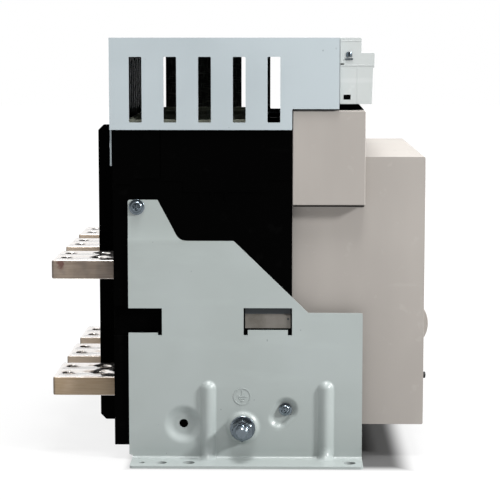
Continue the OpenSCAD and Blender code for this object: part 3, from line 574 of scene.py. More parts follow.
def plate_loops():
    """The flat pattern's outline and holes: y along the plate, and the way up the sheet from the bend."""
    def up(z):
        return z - WALL_FOOT

    def out(x):
        return -(x - PLATE_X - BEND_R) - BEND_ARC

    outline = rounded([
        (PLATE_FRONT, out(FOOT_X), 3), (PLATE_REAR - 3, out(FOOT_X), 3), (PLATE_REAR - 3, 0, 0),
        (PLATE_REAR, 1, 0), (PLATE_REAR, up(NOTCH_Z[0]), 0.6), (NOTCH_Y + RELIEF, up(NOTCH_Z[0]), 0),
        (NOTCH_Y + RELIEF, up(NOTCH_Z[0] - 2.4), 0.5), (NOTCH_Y, up(NOTCH_Z[0] - 2.4), 0.5),
        (NOTCH_Y, up(NOTCH_Z[1]), 0.5), (PLATE_REAR, up(NOTCH_Z[1]), 0.6), (PLATE_REAR, up(PLATE_TOP), 2),
        (105.8, up(PLATE_TOP), 1), (85.2, up(PLATE_MID), 12), (33.9, up(PLATE_MID), 1),
        (-36.9, up(PLATE_STEP), 1), (PLATE_FRONT, up(PLATE_STEP), 2)
    ])
    slot = rounded([
        (SLOT_Y[0], up(SLOT_Z[1]), 0.4), (SLOT_Y[0], up(SLOT_Z[0] - 5), 0.4),
        (SLOT_Y[0] + RELIEF, up(SLOT_Z[0] - 5), 0.4), (SLOT_Y[0] + RELIEF, up(SLOT_Z[0]), 0),
        (SLOT_Y[1] - RELIEF, up(SLOT_Z[0]), 0), (SLOT_Y[1] - RELIEF, up(SLOT_Z[0] - 5), 0.4),
        (SLOT_Y[1], up(SLOT_Z[0] - 5), 0.4), (SLOT_Y[1], up(SLOT_Z[1]), 0.4)
    ])
    holes = [circle(y, out(196), 5.75) for y in (-76, 76)]
    holes += [circle(101.5, out(197), 4.8), circle(120.6, out(197), 3.15)]
    for (y, z), radius in ((STUD, 6.2), (DIMPLE, 4.3), (DENT, 3.2), (TOP_SCREW, 3.2)):
        holes.append(circle(y, up(z), radius))
    return outline, [slot, *holes]


def plate_points(y, u):
    """The pressed and folded face of the right-hand sheet, from its flat pattern.

    The fold is straight wall, a quarter circle, then straight foot. A bead blends towards a crest line that
    stands off the wall and comes down to the foot on a quarter ellipse, by one minus the square of the
    distance from the bead's middle line. Dimple, dent and boss add smooth steps along x. The rear tab is set
    in by one minus the square of the height that is left of its bend.
    """
    turned = np.clip(-u / BEND_R, 0, math.pi / 2)
    x = PLATE_X + BEND_R - BEND_R * np.cos(turned) + np.maximum(-u - BEND_ARC, 0)
    z = PLATE_T + BEND_R - BEND_R * np.sin(turned) + np.maximum(u, 0)
    centre = (PLATE_X + BEAD_H + GUSSET[0], PLATE_T + GUSSET[1])
    u_top = GUSSET[1] - BEND_R
    u_low = -(BEAD_H + GUSSET[0] - BEND_R + BEND_ARC)
    angle = np.clip((u_top - u) / (u_top - u_low), 0, 1) * math.pi / 2
    crest_x = np.where(u < u_low, x, centre[0] - GUSSET[0] * np.cos(angle))
    crest_z = np.where(u < u_low, z, np.where(u > u_top, z, centre[1] - GUSSET[1] * np.sin(angle)))
    for bead in BEADS:
        off = np.hypot(y - bead, np.maximum(z - (BEAD_TOP - BEAD_R), 0)) / BEAD_R
        weight = np.clip(1 - off ** 2, 0, 1)
        x = x + weight * (crest_x - x)
        z = z + weight * (crest_z - z)
    wall = u > 0
    for (py, pz), depth, low, high in ((DIMPLE, -PRESSED, 9, 19), (STUD, 3, 12, 16.5)):
        reach = np.hypot(y - py, z - pz)
        x = x + np.where(wall, depth * (1 - step(low, high, reach)), 0)
    tail = np.array(DENT_TAIL, float)
    share = np.clip(((y - DENT[0]) * tail[0] + (z - DENT[1]) * tail[1]) / (tail @ tail), 0, 1)
    reach = np.hypot(y - DENT[0] - share * tail[0], z - DENT[1] - share * tail[1])
    x = x - np.where(wall, PRESSED * (1 - step(6.6, 12.5, reach + 2 * share)), 0)
    bend = np.clip((PLATE_MID + TAB_BEND - z) / TAB_BEND, 0, 1)
    x = x - np.where(y > TAB_Y, TAB_SET * (1 - bend ** 2), 0)
    return np.stack([x, y, z], -1)


def plate_mesh():
    """Triangles over the flat pattern, closer where it is pressed, then both faces and the cut rim."""
    outline, holes = plate_loops()
    loops = [spaced(outline, 2.5)] + [spaced(h, 2.5) for h in holes]
    rims = np.concatenate(loops)
    u_foot = -(FOOT_X - PLATE_X - BEND_R) - BEND_ARC

    def spread(y0, y1, u0, u1, gap):
        ys = np.arange(y0, y1, gap)
        us = np.arange(u0, u1, gap)
        return np.stack(np.meshgrid(ys, us), -1).reshape(-1, 2)

    coarse = spread(PLATE_FRONT, PLATE_REAR, u_foot, PLATE_TOP - WALL_FOOT, 6.0)
    dense = []
    for bead in BEADS:
        u_low = -(BEAD_H + GUSSET[0] - BEND_R + BEND_ARC) - 2
        dense.append((bead - BEAD_R - 2, bead + BEAD_R + 2, u_low, BEAD_TOP - WALL_FOOT + 2, 1.0))
    dense.append((TAB_Y, PLATE_REAR, PLATE_MID - WALL_FOOT, 226, 2.0))
    for (y, z), reach in ((DIMPLE, 22), (DENT, 18), (STUD, 18)):
        dense.append((y - reach, y + reach, z - WALL_FOOT - reach, z - WALL_FOOT + reach, 1.3))
    clouds = []
    for y0, y1, u0, u1, gap in dense:
        low = coarse[:, 0] > y0 - 1.5
        keep = ~(low & (coarse[:, 0] < y1 + 1.5) & (coarse[:, 1] > u0 - 1.5) & (coarse[:, 1] < u1 + 1.5))
        coarse = coarse[keep]
        clouds.append(spread(y0, y1, max(u0, u_foot), u1, gap))
    bend = spread(PLATE_FRONT, PLATE_REAR, -BEND_ARC, 0.1, BEND_ARC / 5)
    coarse = coarse[(coarse[:, 1] > 2) | (coarse[:, 1] < -BEND_ARC - 2)]
    rows = bend[np.isclose(np.mod(np.round((bend[:, 0] - PLATE_FRONT) / (BEND_ARC / 5)), 3), 0)]
    rows = rows[np.all([np.abs(rows[:, 0] - b) > BEAD_R + 2.4 for b in BEADS], axis=0)]
    points = np.concatenate([coarse, rows, *clouds])
    points = points[within(points, loops[0], loops[1:])]
    near = np.array([np.min(np.hypot(*(rims - p).T)) for p in points])
    flat, faces = triangles(np.concatenate([rims, points[near > 0.55]]), loops, loops[1:])
    used, faces = np.unique(faces, return_inverse=True)
    faces = faces.reshape(-1, 3)
    flat = flat[used]
    outer = plate_points(flat[:, 0], flat[:, 1])
    a, b, c = (outer[faces[:, i]] for i in range(3))
    normals = np.zeros_like(outer)
    for i in range(3):
        np.add.at(normals, faces[:, i], np.cross(b - a, c - a))
    normals /= np.linalg.norm(normals, axis=1)[:, None]
    return sheet_solid(outer, outer - PLATE_T * normals, faces)


def side_plates():
    points, faces = plate_mesh()
    for side, node in zip(SIDES, ("left_side_plate", "right_side_plate")):
        mesh = bpy.data.meshes.new(node + "_sheet")
        placed = points * np.array([side, 1, 1]) * MM
        mesh.from_pydata(placed.tolist(), [], faces if side > 0 else [f[::-1] for f in faces])
        sheet = show(node + "_sheet", mesh, "plate_paint", roll=0.6, sharp=62)
        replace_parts(sheet, node)


def across(shape, side):
    """Turns an outline of (x, z) on the right-hand side into (z, x) on either side, for a prism along y."""
    return [(z, side * x) for x, z in shape]


def sheet_lips():
    """Strips of the sheet bent inwards along the bottom of the slot and of the rear notch."""
    lips = Shell()
    for side in SIDES:
        for span, z in (((NOTCH_Y + RELIEF + 0.3, PLATE_REAR - 3.5), NOTCH_Z[0]),
                        ((SLOT_Y[0] + RELIEF + 0.3, SLOT_Y[1] - RELIEF - 0.3), SLOT_Z[0])):
            strip = [(174.6, z - 2), (172.9, z - 1.1), (170.7, z - 0.4), (170.6, z - 1.8), (172.2, z - 2.8)]
            lips.prism(1, span, across(strip, side))
    lips.done("side_plate_lips", "plate_paint", roll=0.25)


def lifting_brackets():
    """Galvanised brackets behind the slots: an upright face folded in at its top, and a web behind it in the
    dark trip-unit finish as painted shade.
    """
    made = Shell()
    webs = Shell()
    span = (SLOT_Y[0] + 1.4, SLOT_Y[1] - 1.4)
    for side in SIDES:
        face = [(172.4, 127.5), (172.4, 139.8), (170.6, 141.4), (170.55, 127.5)]
        made.prism(1, span, across(face, side))
        webs.disc(0, (0, span[0] + 2.4, 136.5), 1, side * 172, side * 172.6, 20)
        webs.block(outwards(side, 170.5, 170.9), span, (140, 148))
    # Painted shade: the webs take the dark trip-unit case finish, for the shade in the pocket behind each
    # slot.
    webs.done("lifting_bracket_webs", "bracket_steel", finish=FINISHES["trip_case"])
    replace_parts(made.done("lifting_bracket_faces", "bracket_steel", roll=0.3), "lifting_brackets")


# ---- Terminal bars ----

BAR_W = 77
BAR_END = 209.5
BAR_SPANS = {"upper": (171.6, 190.1, 112), "lower": (58, 76.5, 84)}
BAR_ROLL = 2.0
BORES = [(x, y) for x in (-17.5, 17.5) for y in (165.5, 195.5)]
BORE_R = 7


def bar_faces():
    """The plan of a bar with four bores, as triangles, with each point's distance in from the nearest edge.

    Rings run round the outline and round each bore, so that the edges can be rolled over.
    """
    rings = []
    for inset in (0, 0.25, 0.6, 1.1, BAR_ROLL):
        half = BAR_W / 2 - inset
        corner = BAR_ROLL + 0.3 - inset
        loop = rounded([(-half, 60 + inset, 0), (half, 60 + inset, 0), (half, BAR_END - inset, corner),
                        (-half, BAR_END - inset, corner)], 6)
        rings.append((spaced(loop, 4.0), inset))
    bores = []
    for x, y in BORES:
        for inset in (0, 0.25, 0.6):
            bores.append((circle(x, y, BORE_R + inset, 48), inset))
    loops = rings + bores
    flat = np.concatenate([loop for loop, _ in loops])
    depth = np.concatenate([np.full(len(loop), inset if i < len(rings) else inset * BAR_ROLL / 0.6)
                            for i, (loop, inset) in enumerate(loops)])
    holes = [circle(x, y, BORE_R * 0.99, 48) for x, y in BORES]
    spots, faces = triangles(flat, [loop for loop, inset in loops], holes)
    near = np.array([np.argmin(np.hypot(*(flat - q).T)) for q in spots])
    return spots, depth[near], faces


def terminal_bars():
    """Bars with edges rolled over: a face drops by r - sqrt(r^2 - (r - d)^2) at a distance d from its edge.

    An upper bar's inner end is a sloping block that carries the fixed contact and the arc runner.
    """
    spots, depth, faces = bar_faces()
    drop = BAR_ROLL - np.sqrt(np.maximum(BAR_ROLL ** 2 - (BAR_ROLL - depth) ** 2, 0))
    lean = math.radians(19)
    pivot_y, pivot_z, face = 60, 95, 8.3
    runner = []
    for z in (85, 102):
        runner.append((pivot_y + face * math.cos(lean) + z * math.sin(lean),
                       pivot_z + z * math.cos(lean) - face * math.sin(lean)))
    high = runner[1]
    for row, (low_z, top_z, inner) in BAR_SPANS.items():
        for pole, x in zip(("left", "centre", "right"), POLES):
            y = np.maximum(spots[:, 1], inner)
            top = np.stack([spots[:, 0] + x, y, top_z - drop], -1)
            bottom = np.stack([spots[:, 0] + x, y, low_z + drop], -1)
            shell = Shell().add(*sheet_solid(top, bottom, faces))
            if row == "upper":
                block = [*runner, (high[0] + 3, high[1] + 12), (high[0] + 9, high[1] + 12),
                         (inner + 2, top_z), (inner + 2, low_z)]
                shell.prism(0, (x - 29, x + 29), block)
            node = f"{row}_terminal_{pole}"
            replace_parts(shell.done(node + "_bar", "terminal_copper", sharp=50), node)


# ---- Fasteners ----

def hexagon(angle, flats):
    """Distance from the middle of a hexagon to its side, in the direction of angle."""
    turned = np.mod(angle + math.pi / 6, math.pi / 3) - math.pi / 6
    return flats / 2 / np.cos(turned)


def hex_nut(shell, side, at, low, high, flats, bore):
    """A ring whose radius is the smaller of a hexagon and a 30 degree cone from each end face."""
    angle = np.linspace(0, 2 * np.pi, 96, endpoint=False)
    tall = high - low
    along = np.concatenate([[0, 0], np.linspace(0, 1.6, 6), np.linspace(tall - 1.6, tall, 6), [tall] * 2])
    cone = flats / 2 * 0.95 + 1.8 * np.minimum(along, tall - along)
    radius = np.minimum(hexagon(angle, flats)[None, :], cone[:, None])
    radius[:1] = bore
    radius[1:2] = bore + 0.9
    radius[-1:] = bore
    radius[-2:-1] = bore + 0.9
    points = np.zeros((*radius.shape, 3))
    points[..., 0] = side * (low + along)[:, None]
    points[..., 1] = at[0] + radius * np.cos(angle)
    points[..., 2] = at[1] + radius * np.sin(angle)
    shell.grid(points, round_rows=True)


def thread(shell, side, at, low, high, radius, pitch):
    """A stud: its radius follows a rounded saw along it, shifted by one pitch for each turn round it."""
    angle = np.linspace(0, 2 * np.pi, 40, endpoint=False)
    along = np.linspace(low, high, int((high - low) / pitch * 8))
    phase = np.mod(along[:, None] / pitch - angle[None, :] / (2 * np.pi), 1)
    ridge = 1 - np.abs(2 * phase - 1)
    body = radius - 0.62 * pitch * (1 - np.clip(1.5 * ridge - 0.2, 0, 1)) * 0.9
    end = np.clip((high - along) / 1.6, 0, 1)[:, None]
    body = np.minimum(body, radius - 1.5 * (1 - end))
    points = np.zeros((*body.shape, 3))
    points[..., 0] = side * along[:, None]
    points[..., 1] = at[0] + body * np.cos(angle)
    points[..., 2] = at[1] + body * np.sin(angle)
    caps = np.repeat(np.array([[[side * low, *at]], [[side * high, *at]]], float), len(angle), axis=1)
    shell.grid(np.concatenate([caps[:1], points, caps[1:]]))


def split_washer(shell, side, at, low, high, bore, rim):
    """A spring washer: a square section carried round an open turn that rises by a third of its thickness."""
    angle = np.linspace(math.radians(8), math.radians(352), 60)
    lift = (high - low) * 0.18 * (angle / math.pi - 1)
    middle = side * ((low + high) / 2 + lift)
    half = (high - low) * 0.36
    corners = [(bore, -half), (rim, -half), (rim, half), (bore, half)]
    points = np.zeros((len(angle), 4, 3))
    for i, (radius, off) in enumerate(corners):
        points[:, i, 0] = middle + side * off
        points[:, i, 1] = at[0] + radius * np.cos(angle)
        points[:, i, 2] = at[1] + radius * np.sin(angle)
    first = shell.count
    shell.grid(points)
    last = first + (len(angle) - 1) * 4
    shell.faces += [[first + 3, first + 2, first + 1, first], [last, last + 1, last + 2, last + 3]]


def earth_stud():
    """Left plate's boss: stud, flat washer, spring washer and chamfered nut. Right plate's: a domed plug."""
    made = Shell()
    side = -1
    thread(made, side, STUD, 176.2, 205, 6.0, 1.75)
    head = [(0, 168.2), (8.6, 168.2), (9, 168.6), (9, 174.4), (8.6, 174.8), (0, 174.8)]
    made.turn(0, (0, *STUD), [(r, side * x) for r, x in head], 48)
    washer = [(6.15, 178.05), (11.7, 178.05), (12, 178.35), (12, 180.15), (11.7, 180.45), (6.15, 180.45)]
    made.turn(0, (0, *STUD), [(r, side * x) for r, x in washer], 64, ring=True)
    split_washer(made, side, STUD, 180.4, 183.6, 6.2, 10.2)
    hex_nut(made, side, STUD, 183.6, 193.5, 18, 5.9)
    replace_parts(made.done("earth_stud_set", "screw_zinc", sharp=32), "earth_stud")
    plug = Shell()
    dome = [(0, 173.6), (5.2, 173.6), (5.4, 174), (5.4, 178.02), (9.4, 178.02), (9.5, 178.4), (8.8, 179.5),
            (6.4, 180), (0, 180)]
    plug.turn(0, (0, *STUD), dome, 56)
    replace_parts(plug.done("stud_plug", "black_moulding", sharp=40), "stud_hole_plug")


def pan_head(shell, axis, sign, at, seat, radius, height, recess):
    """A pan head on its seat: a flat-topped dome with a cross recess.

    Its height is that of a dome of the fourth power of the radius, less a pit where the smaller of the two
    distances across the cross is under its arm's half width and the larger is under its arm's length.
    """
    angle = np.linspace(0, 2 * np.pi, 56, endpoint=False)
    share = np.concatenate([np.linspace(0.02, 0.95, 26), [0.98, 1.0]])
    radii = share[:, None] * radius * np.ones_like(angle)
    a = radii * np.cos(angle)
    b = radii * np.sin(angle)
    small = np.minimum(np.abs(a), np.abs(b))
    large = np.maximum(np.abs(a), np.abs(b))
    pit = (1 - step(recess * 0.16, recess * 0.34, small)) * (1 - step(recess * 0.75, recess * 1.0, large))
    lift = height * (1 - 0.55 * share[:, None] ** 4) - pit * height * 0.62
    points = np.zeros((len(share) + 3, len(angle), 3))
    points[1:-2, :, axis] = lift
    points[1:-2, :, (axis + 1) % 3] = a
    points[1:-2, :, (axis + 2) % 3] = b
    points[0, :, axis] = height * 0.38
    points[-2, :, (axis + 1) % 3] = radius * np.cos(angle)
    points[-2, :, (axis + 2) % 3] = radius * np.sin(angle)
    points[..., axis] *= sign
    shell.grid(points + np.asarray(at, float) + seat * np.eye(3)[axis] * sign)


def plate_screws():
    made = Shell()
    for side in SIDES:
        for at, seat, rim in ((TOP_SCREW, PLATE_X - TAB_SET, 7.4), (DENT, PLATE_X - PRESSED, 6.2)):
            ring = [(2.6, seat), (rim - 0.2, seat), (rim, seat + 0.25), (rim, seat + 0.9),
                    (rim - 0.3, seat + 1.15), (2.6, seat + 1.15)]
            made.turn(0, (0, *at), [(r, side * x) for r, x in ring], 56, ring=True)
            pan_head(made, 0, side, (0, *at), seat + 1.2, rim * 0.74, 3.1, rim * 0.46)
    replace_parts(made.done("plate_screw_heads", "screw_zinc", sharp=50), "plate_screws")


def cover_screws():
    """Four pan heads on the exhaust cover's tail, and two knurled thumb screws on the operating cover."""
    rear = 150.5
    heads = Shell()
    for x in (-150, -20, 20, 150):
        pan_head(heads, 1, 1, (x, 0, 300), rear, 4.0, 2.3, 2.1)
        heads.disc(1, (x, 0, 300), 1.9, rear - 8, rear + 0.3, 24)
    heads.done("exhaust_cover_screws", "screw_zinc", sharp=50)
    angle = np.linspace(0, 2 * np.pi, 96, endpoint=False)
    even = np.ones_like(angle)
    knurl = 3.12 + 0.16 * np.abs(np.cos(12 * angle))
    tip = part_box("cover_screws")[0][1]
    along = np.array([tip, tip + 0.5, tip + 0.8, FACE - 2.2, FACE - 1.9, FACE - 1.6, FACE - 0.05])
    radius = np.stack([0 * even, 2.6 * even, knurl, knurl, 2.6 * even, 2.4 * even, 2.4 * even])
    thumbs = Shell()
    for x in (-60, 60):
        points = np.zeros((len(along), len(angle), 3))
        points[..., 0] = x + radius * np.cos(angle)
        points[..., 1] = along[:, None]
        points[..., 2] = 62 + radius * np.sin(angle)
        thumbs.grid(np.concatenate([points, points[-1:] * [0, 1, 0] + [x, 0, 62]]))
        thumbs.turn(1, (x, 0, 62), [(2.2, FACE - 0.05), (2.2, FACE + 11), (0, FACE + 11)], 32)
    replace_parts(thumbs.done("cover_thumb_screws", "black_screw", sharp=30), "cover_screws")


def earth_marks():
    """A raised earth sign on each plate: a ring, an upright line, and three bars, shorter downwards."""
    made = Shell()
    y, z = 26, 62
    for side in SIDES:
        made.ring(0, (0, y, z), 7.5, 8.3, side * 174.9, side * 175.35, 64)
        span = outwards(side, 174.9, 175.35)
        made.block(span, (y - 0.4, y + 0.4), (z + 0.4, z + 6.2))
        for half, drop in ((4.6, 0), (3.1, 2.1), (1.6, 4.2)):
            made.block(span, (y - half, y + half), (z - drop - 0.4, z - drop + 0.4))
    made.done("earth_marks", "plate_paint", roll=0.12)


# ---- Housing ----

def housing_ridges():
    """The stepped band round the arc chutes and the rear corner panel, raised from the housing's sides."""
    face = 172.5
    made = Shell()
    top, low, tooth = 317.6, 257, 249
    teeth = []
    for y in (39.2, 52.4, 62.6):
        teeth += [(y, low, 0), (y, tooth, 1.5), (y + 3.8, tooth, 1.5), (y + 3.8, low, 0)]
    band = rounded([(-21.2, top, 0), (-21.2, 268.4, 1), (0.6, 268.4, 1), (3.3, low, 1), *teeth,
                    (81.6, low, 1), (81.6, 267.4, 1), (102.6, 267.4, 1), (102.6, top, 0)], 2)
    corner = rounded([(103.8, 270, 1), (125.9, 270, 1), (130.7, 264.5, 1), (147.6, 264.5, 1),
                      (147.6, top, 0), (103.8, top, 0)], 2)
    for side in SIDES:
        made.prism(0, outwards(side, face - 0.4, face + 0.45), band)
        made.prism(0, outwards(side, face - 0.4, face + 0.85), corner)
        for y in (30, 74):
            made.prism(0, outwards(side, face - 0.4, face + 0.3), circle(y, 300, 5, 24))
    made.done("housing_side_panels", "black_moulding", roll=0.25, sharp=40)


def exhaust_fins():
    """Bright zinc strips on every third upright fin of the exhaust cover's rear wall: painted highlights on
    the fins' lit edges.
    """
    made = Shell()
    for i in range(-18, 19, 3):
        made.block((i * 8 - 0.9, i * 8 + 0.9), (141.4, 142.2), (323, 394))
    # Painted highlight: the strips take the bright zinc finish in place of the light caught on the fin edges.
    made.done("exhaust_fin_highlights", "liner_board", finish=FINISHES["screw_zinc"])


def cover_shadow_strips():
    """Black strips in the step below the upper cover, along both sides of the operating cover: a painted
    shadow under the upper cover's overhang.
    """
    made = Shell()
    for side in SIDES:
        made.block(outwards(side, 159.6, 161.2), (-89.8, -22.5), (242.6, 244.8))
    # Painted shadow: black strips that stand for the shade under the upper cover's overhang.
    made.done("cover_shadow_strips", "black_moulding", roll=0.3)


def housing_rear():
    """Raised frames round the terminal openings, stiffening ribs, and the rear moulding's ejector marks."""
    rear = 148.0
    made = Shell()
    for x in POLES:
        for low in (58, 171.6):
            for pad, thick in ((5.0, 0.7), (2.6, 1.4)):
                opening = (x - BAR_W / 2 - 0.3, x + BAR_W / 2 + 0.3, low - 0.3, low + 18.8)
                made.frame(opening, pad, (rear - 0.4, rear + thick))
        for z in (96, 112, 128, 144, 160):
            made.block((x - 44, x + 44), (rear - 0.4, rear + 0.8), (z - 0.8, z + 0.8))
        for dx in (-30, 30):
            for z in (36, 232):
                made.disc(1, (x + dx, 0, z), 5, rear - 0.3, rear + 0.35)
        rib = (rear - 0.4, rear + 0.9)
        for z in (206, 256):
            made.block((x - 36, x + 36), rib, (z, z + 2))
        for side in SIDES:
            made.block((x + side * 36 - 1, x + side * 36 + 1), rib, (206, 258))
    made.done("housing_rear_ribs", "black_moulding", roll=0.25)


# ---- Secondary terminals ----

def terminal_row():
    """Clamp screws, wire clamps and seams on the secondary terminals, and the end modules' side detail."""
    low, high = part_box("secondary_terminals")
    count = 20
    width = 16.5
    screws = Shell()
    seams = Shell()
    dark = Shell()
    for i in range(count):
        x = (i - count / 2 + 0.5) * width - 0.2
        pan_head(screws, 2, 1, (x, -76, 0), 394.6, 3.3, 2.6, 2.2)
        screws.block((x - 4.6, x + 4.6), (-93.5, -92), (350, 364))
        seams.block((x - 7.2, x + 7.2), (-98.62, -97.6), (383.6, 384.2))
        seams.block((x - 5.4, x + 5.4), (-96.95, -96.0), (368.4, 369.2))
        dark.disc(1, (x, 0, 381), 3.1, -91.2, -90.2, 24)
    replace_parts(screws.done("secondary_clamp_screws", "screw_zinc", sharp=50), "secondary_terminals")
    for side, end in zip(SIDES, (low[0], high[0])):
        for shell, proud, y, z in ((seams, 0.3, (-98.2, -65.9), (375.7, 376.8)),
                                   (seams, 0.14, (-82.6, -82.0), (341, 375.6)),
                                   (seams, 0.2, (-85.6, -66.4), (398.6, 399.3)),
                                   (dark, 0.12, (-76.0, -69.4), (344.2, 348.8)),
                                   (dark, 0.35, (-69.6, -66.6), (376.9, 378.0))):
            shell.block(sorted((end - side * 0.5, end + side * proud)), y, z)
    seams.done("secondary_terminal_seams", "ivory_plastic", roll=0.15)
    dark.done("secondary_terminal_windows", "black_moulding")
    ends = Shell()
    for side, end in zip(SIDES, (low[0], high[0])):
        x = end - side * 1.6
        screw = [(0, 378), (1.5, 378), (1.5, 384), (3.3, 384.4), (3.3, 387.2), (2.9, 388.6), (0, 389.2)]
        ends.turn(2, (x, -74.5, 0), screw, 32)
        ends.block(sorted((x, end + side * 0.9)), (-78, -71), (381.4, 382.8))
    ends.done("secondary_end_screws", "screw_zinc", sharp=40)


# ---- Operating front ----

def trip_unit_face():
    """Screen, keys, lamps, setting dials and a test socket on the trip unit, all behind its clear flap."""
    y = TRIP_FACE
    glass = Shell()
    glass.block((-139.5, -70.5), (y + 0.7, y + 1.45), (212.5, 255.5))
    glass.done("trip_unit_screen", "trip_case", roll=0.3, finish=SCREEN)
    crystal = Shell()
    crystal.block((-136, -92), (y + 0.45, y + 0.8), (218, 250))
    crystal.done("trip_unit_display", "trip_case", roll=0.2, finish=CRYSTAL)
    bars = Shell()
    for i, part in enumerate((0.9, 0.65, 0.75, 0.3)):
        z = 244 - i * 7
        bars.block((-133, -133 + 36 * part), (y + 0.35, y + 0.5), (z - 1.2, z + 1.2))
    bars.done("trip_unit_bars", "trip_case", finish=PRINT)
    keys = Shell()
    for dx, dz in ((0, 9), (0, -9), (-5.4, 0), (5.4, 0)):
        outline = rounded([(234 + dz - 3, -81 + dx - 3, 1), (234 + dz - 3, -81 + dx + 3, 1),
                           (234 + dz + 3, -81 + dx + 3, 1), (234 + dz + 3, -81 + dx - 3, 1)], 2)
        keys.prism(1, (y - 0.3, y + 1), outline)
    keys.done("trip_unit_keys", "trip_case", roll=0.3, finish=FINISHES["coil_plastic"])
    marks = Shell()
    knobs = Shell()
    for i in range(4):
        x = -134 + i * 19
        lens = Shell()
        rise = np.linspace(0, math.pi / 2, 8)
        dome = np.stack([4.3 * np.cos(rise), y + 0.3 - 1.2 * np.sin(rise)], 1)
        lens.turn(1, (x, 0, 192), [(0, y + 1.5), (4.3, y + 1.5), *dome], 32)
        lens.done(f"trip_unit_lamp_{i + 1}", "clear_plastic", sharp=50, finish=LENSES[i])
        marks.block((x - 5, x + 5), (y - 0.12, y + 0.2), (199.6, 200.2))
        for z in (164, 140):
            knob = [(0, y + 1.9), (5.3, y + 1.9), (5.3, y - 0.4), (4.8, y - 0.8), (0, y - 0.8)]
            knobs.turn(1, (x, 0, z), knob, 40)
            knobs.block((x - 4.2, x + 4.2), (y - 1.2, y - 0.7), (z - 0.7, z + 0.7))
            for tick in np.radians(np.arange(-60, 241, 37.5)):
                c, s = math.cos(tick), math.sin(tick)
                corner = [(7.5, -0.25), (8.7, -0.25), (8.7, 0.25), (7.5, 0.25)]
                tick_line = [(z + r * s + w * c, x + r * c - w * s) for r, w in corner]
                marks.prism(1, (y - 0.12, y + 0.2), tick_line)
    knobs.done("trip_unit_dials", "trip_case", roll=0.2, finish=FINISHES["coil_plastic"])
    marks.block((-146, -64), (y - 0.12, y + 0.2), (206, 206.5))
    marks.block((-146, -64), (y - 0.12, y + 0.2), (126.5, 127))
    marks.done("trip_unit_marks", "trip_case", finish=WHITE_PRINT)
    socket = Shell()
    socket.block((-139.5, -104), (y + 0.3, y + 0.95), (100.5, 121.5))
    socket.done("trip_unit_label", "trip_case", roll=0.15, finish=PLATE_METAL)
    pins = Shell()
    pins.block((-98, -72), (y - 0.4, y + 0.98), (102.5, 119.5))
    pins.done("trip_unit_test_socket", "trip_case", roll=0.5)
    holes = Shell()
    for i in range(5):
        for j in range(2):
            holes.disc(1, (-94 + i * 4.5, 0, 108.4 + j * 5.2), 1.1, y - 0.1, y - 0.46, 16)
    holes.done("trip_unit_socket_holes", "black_moulding")


def panel_details():
    """Rating plate, window frames with lenses, key collar, and the signs on the push buttons and flags."""
    plate = Shell()
    blank = rounded([(217, 41, 2), (217, 144, 2), (261, 144, 2), (261, 41, 2)])
    plate.prism(1, (FACE + 0.15, FACE + 0.78), blank)
    plate.done("rating_plate", "bright_steel", roll=0.15, finish=PLATE_METAL)
    print_lines = Shell()
    y = (FACE + 0.02, FACE + 0.2)
    for i in range(6):
        z = 223.5 + i * 6.4
        print_lines.block((46, 139), y, (z - 0.2, z + 0.2))
    for x in (46, 77, 108, 139):
        print_lines.block((x - 0.2, x + 0.2), y, (223.5, 255.5))
    print_lines.done("rating_plate_rules", "bright_steel", finish=PRINT)
    rivets = Shell()
    rivet = [(0, FACE - 0.5), (0.9, FACE - 0.4), (1.5, FACE + 0.1), (1.5, FACE + 0.5)]
    for x in (43.4, 141.6):
        rivets.turn(1, (x, 0, 239), rivet, 24)
    rivets.done("rating_plate_rivets", "screw_zinc", sharp=50)
    frames = Shell()
    lenses = Shell()
    for z in (184, 144):
        frames.frame((47, 69, z, z + 12), 2.2, (FACE - 0.8, FACE + 0.3))
        lenses.block((47.1, 68.9), (FACE + 0.4, FACE + 1.2), (z + 0.1, z + 11.9))
    frames.done("indicator_frames", "beige_plastic", roll=0.3)
    lenses.done("indicator_lenses", "clear_plastic", roll=0.2)
    for name, body, z, up in (("on_sign", "on_push", 190, True), ("off_sign", "off_push", 150, False)):
        sign = Shell()
        face = FACE + 0.3
        if up:
            sign.block((109.1, 110.9), (face - 0.28, face + 0.2), (z - 5, z + 5))
        else:
            sign.ring(1, (110, 0, z), 4.1, 5.3, face + 0.2, face - 0.28, 48)
        sign.done(name, "flag_white", body, roll=0.1, finish=WHITE_PRINT)
    for body, z in (("contact_flag", 184), ("spring_flag", 144)):
        signs = Shell()
        y = FACE + 4
        signs.ring(1, (58, 0, z + 6), 2.9, 3.8, y + 0.1, y - 0.15, 40)
        signs.block((57.5, 58.5), (y - 0.15, y + 0.1), (z - 10, z - 2))
        signs.done(body + "_signs", "flag_white", body, finish=PRINT)
    collar = Shell()
    ring = [(8.1, FACE + 0.5), (8.1, FACE - 0.9), (8.5, FACE - 1.3), (12.2, FACE - 0.9), (12.8, FACE + 0.5)]
    collar.turn(1, (110, 0, 105), ring, 64, ring=True)
    collar.done("key_lock_collar", "bright_steel", sharp=40)
    border = Shell()
    for x in (-156.5, 156.5):
        border.block((x - 0.5, x + 0.5), (FACE - 0.35, FACE + 0.2), (44, 280))
    for z in (44, 280):
        border.block((-157, 157), (FACE - 0.35, FACE + 0.2), (z - 0.5, z + 0.5))
    border.done("operating_cover_border", "beige_plastic", roll=0.2)


def flap_hinge():
    """Three barrels of the clear flap's hinge, with the pin's ends, on the flap's left edge."""
    x, y = -149.4, FACE + 0.6
    for name, body, spans in (("flap_hinge_frame", "frame", ((96, 106), (258, 268))),
                              ("flap_hinge_leaf", "clear_flap", ((106.3, 130), (234, 257.7)))):
        made = Shell()
        for low, high in spans:
            barrel = [(0, low), (1.0, low), (1.2, low + 0.3), (1.2, high - 0.3), (1.0, high), (0, high)]
            made.turn(2, (x, y, 0), barrel, 24)
        made.done(name, "bright_steel", body, sharp=50)


# ---- Stage ----

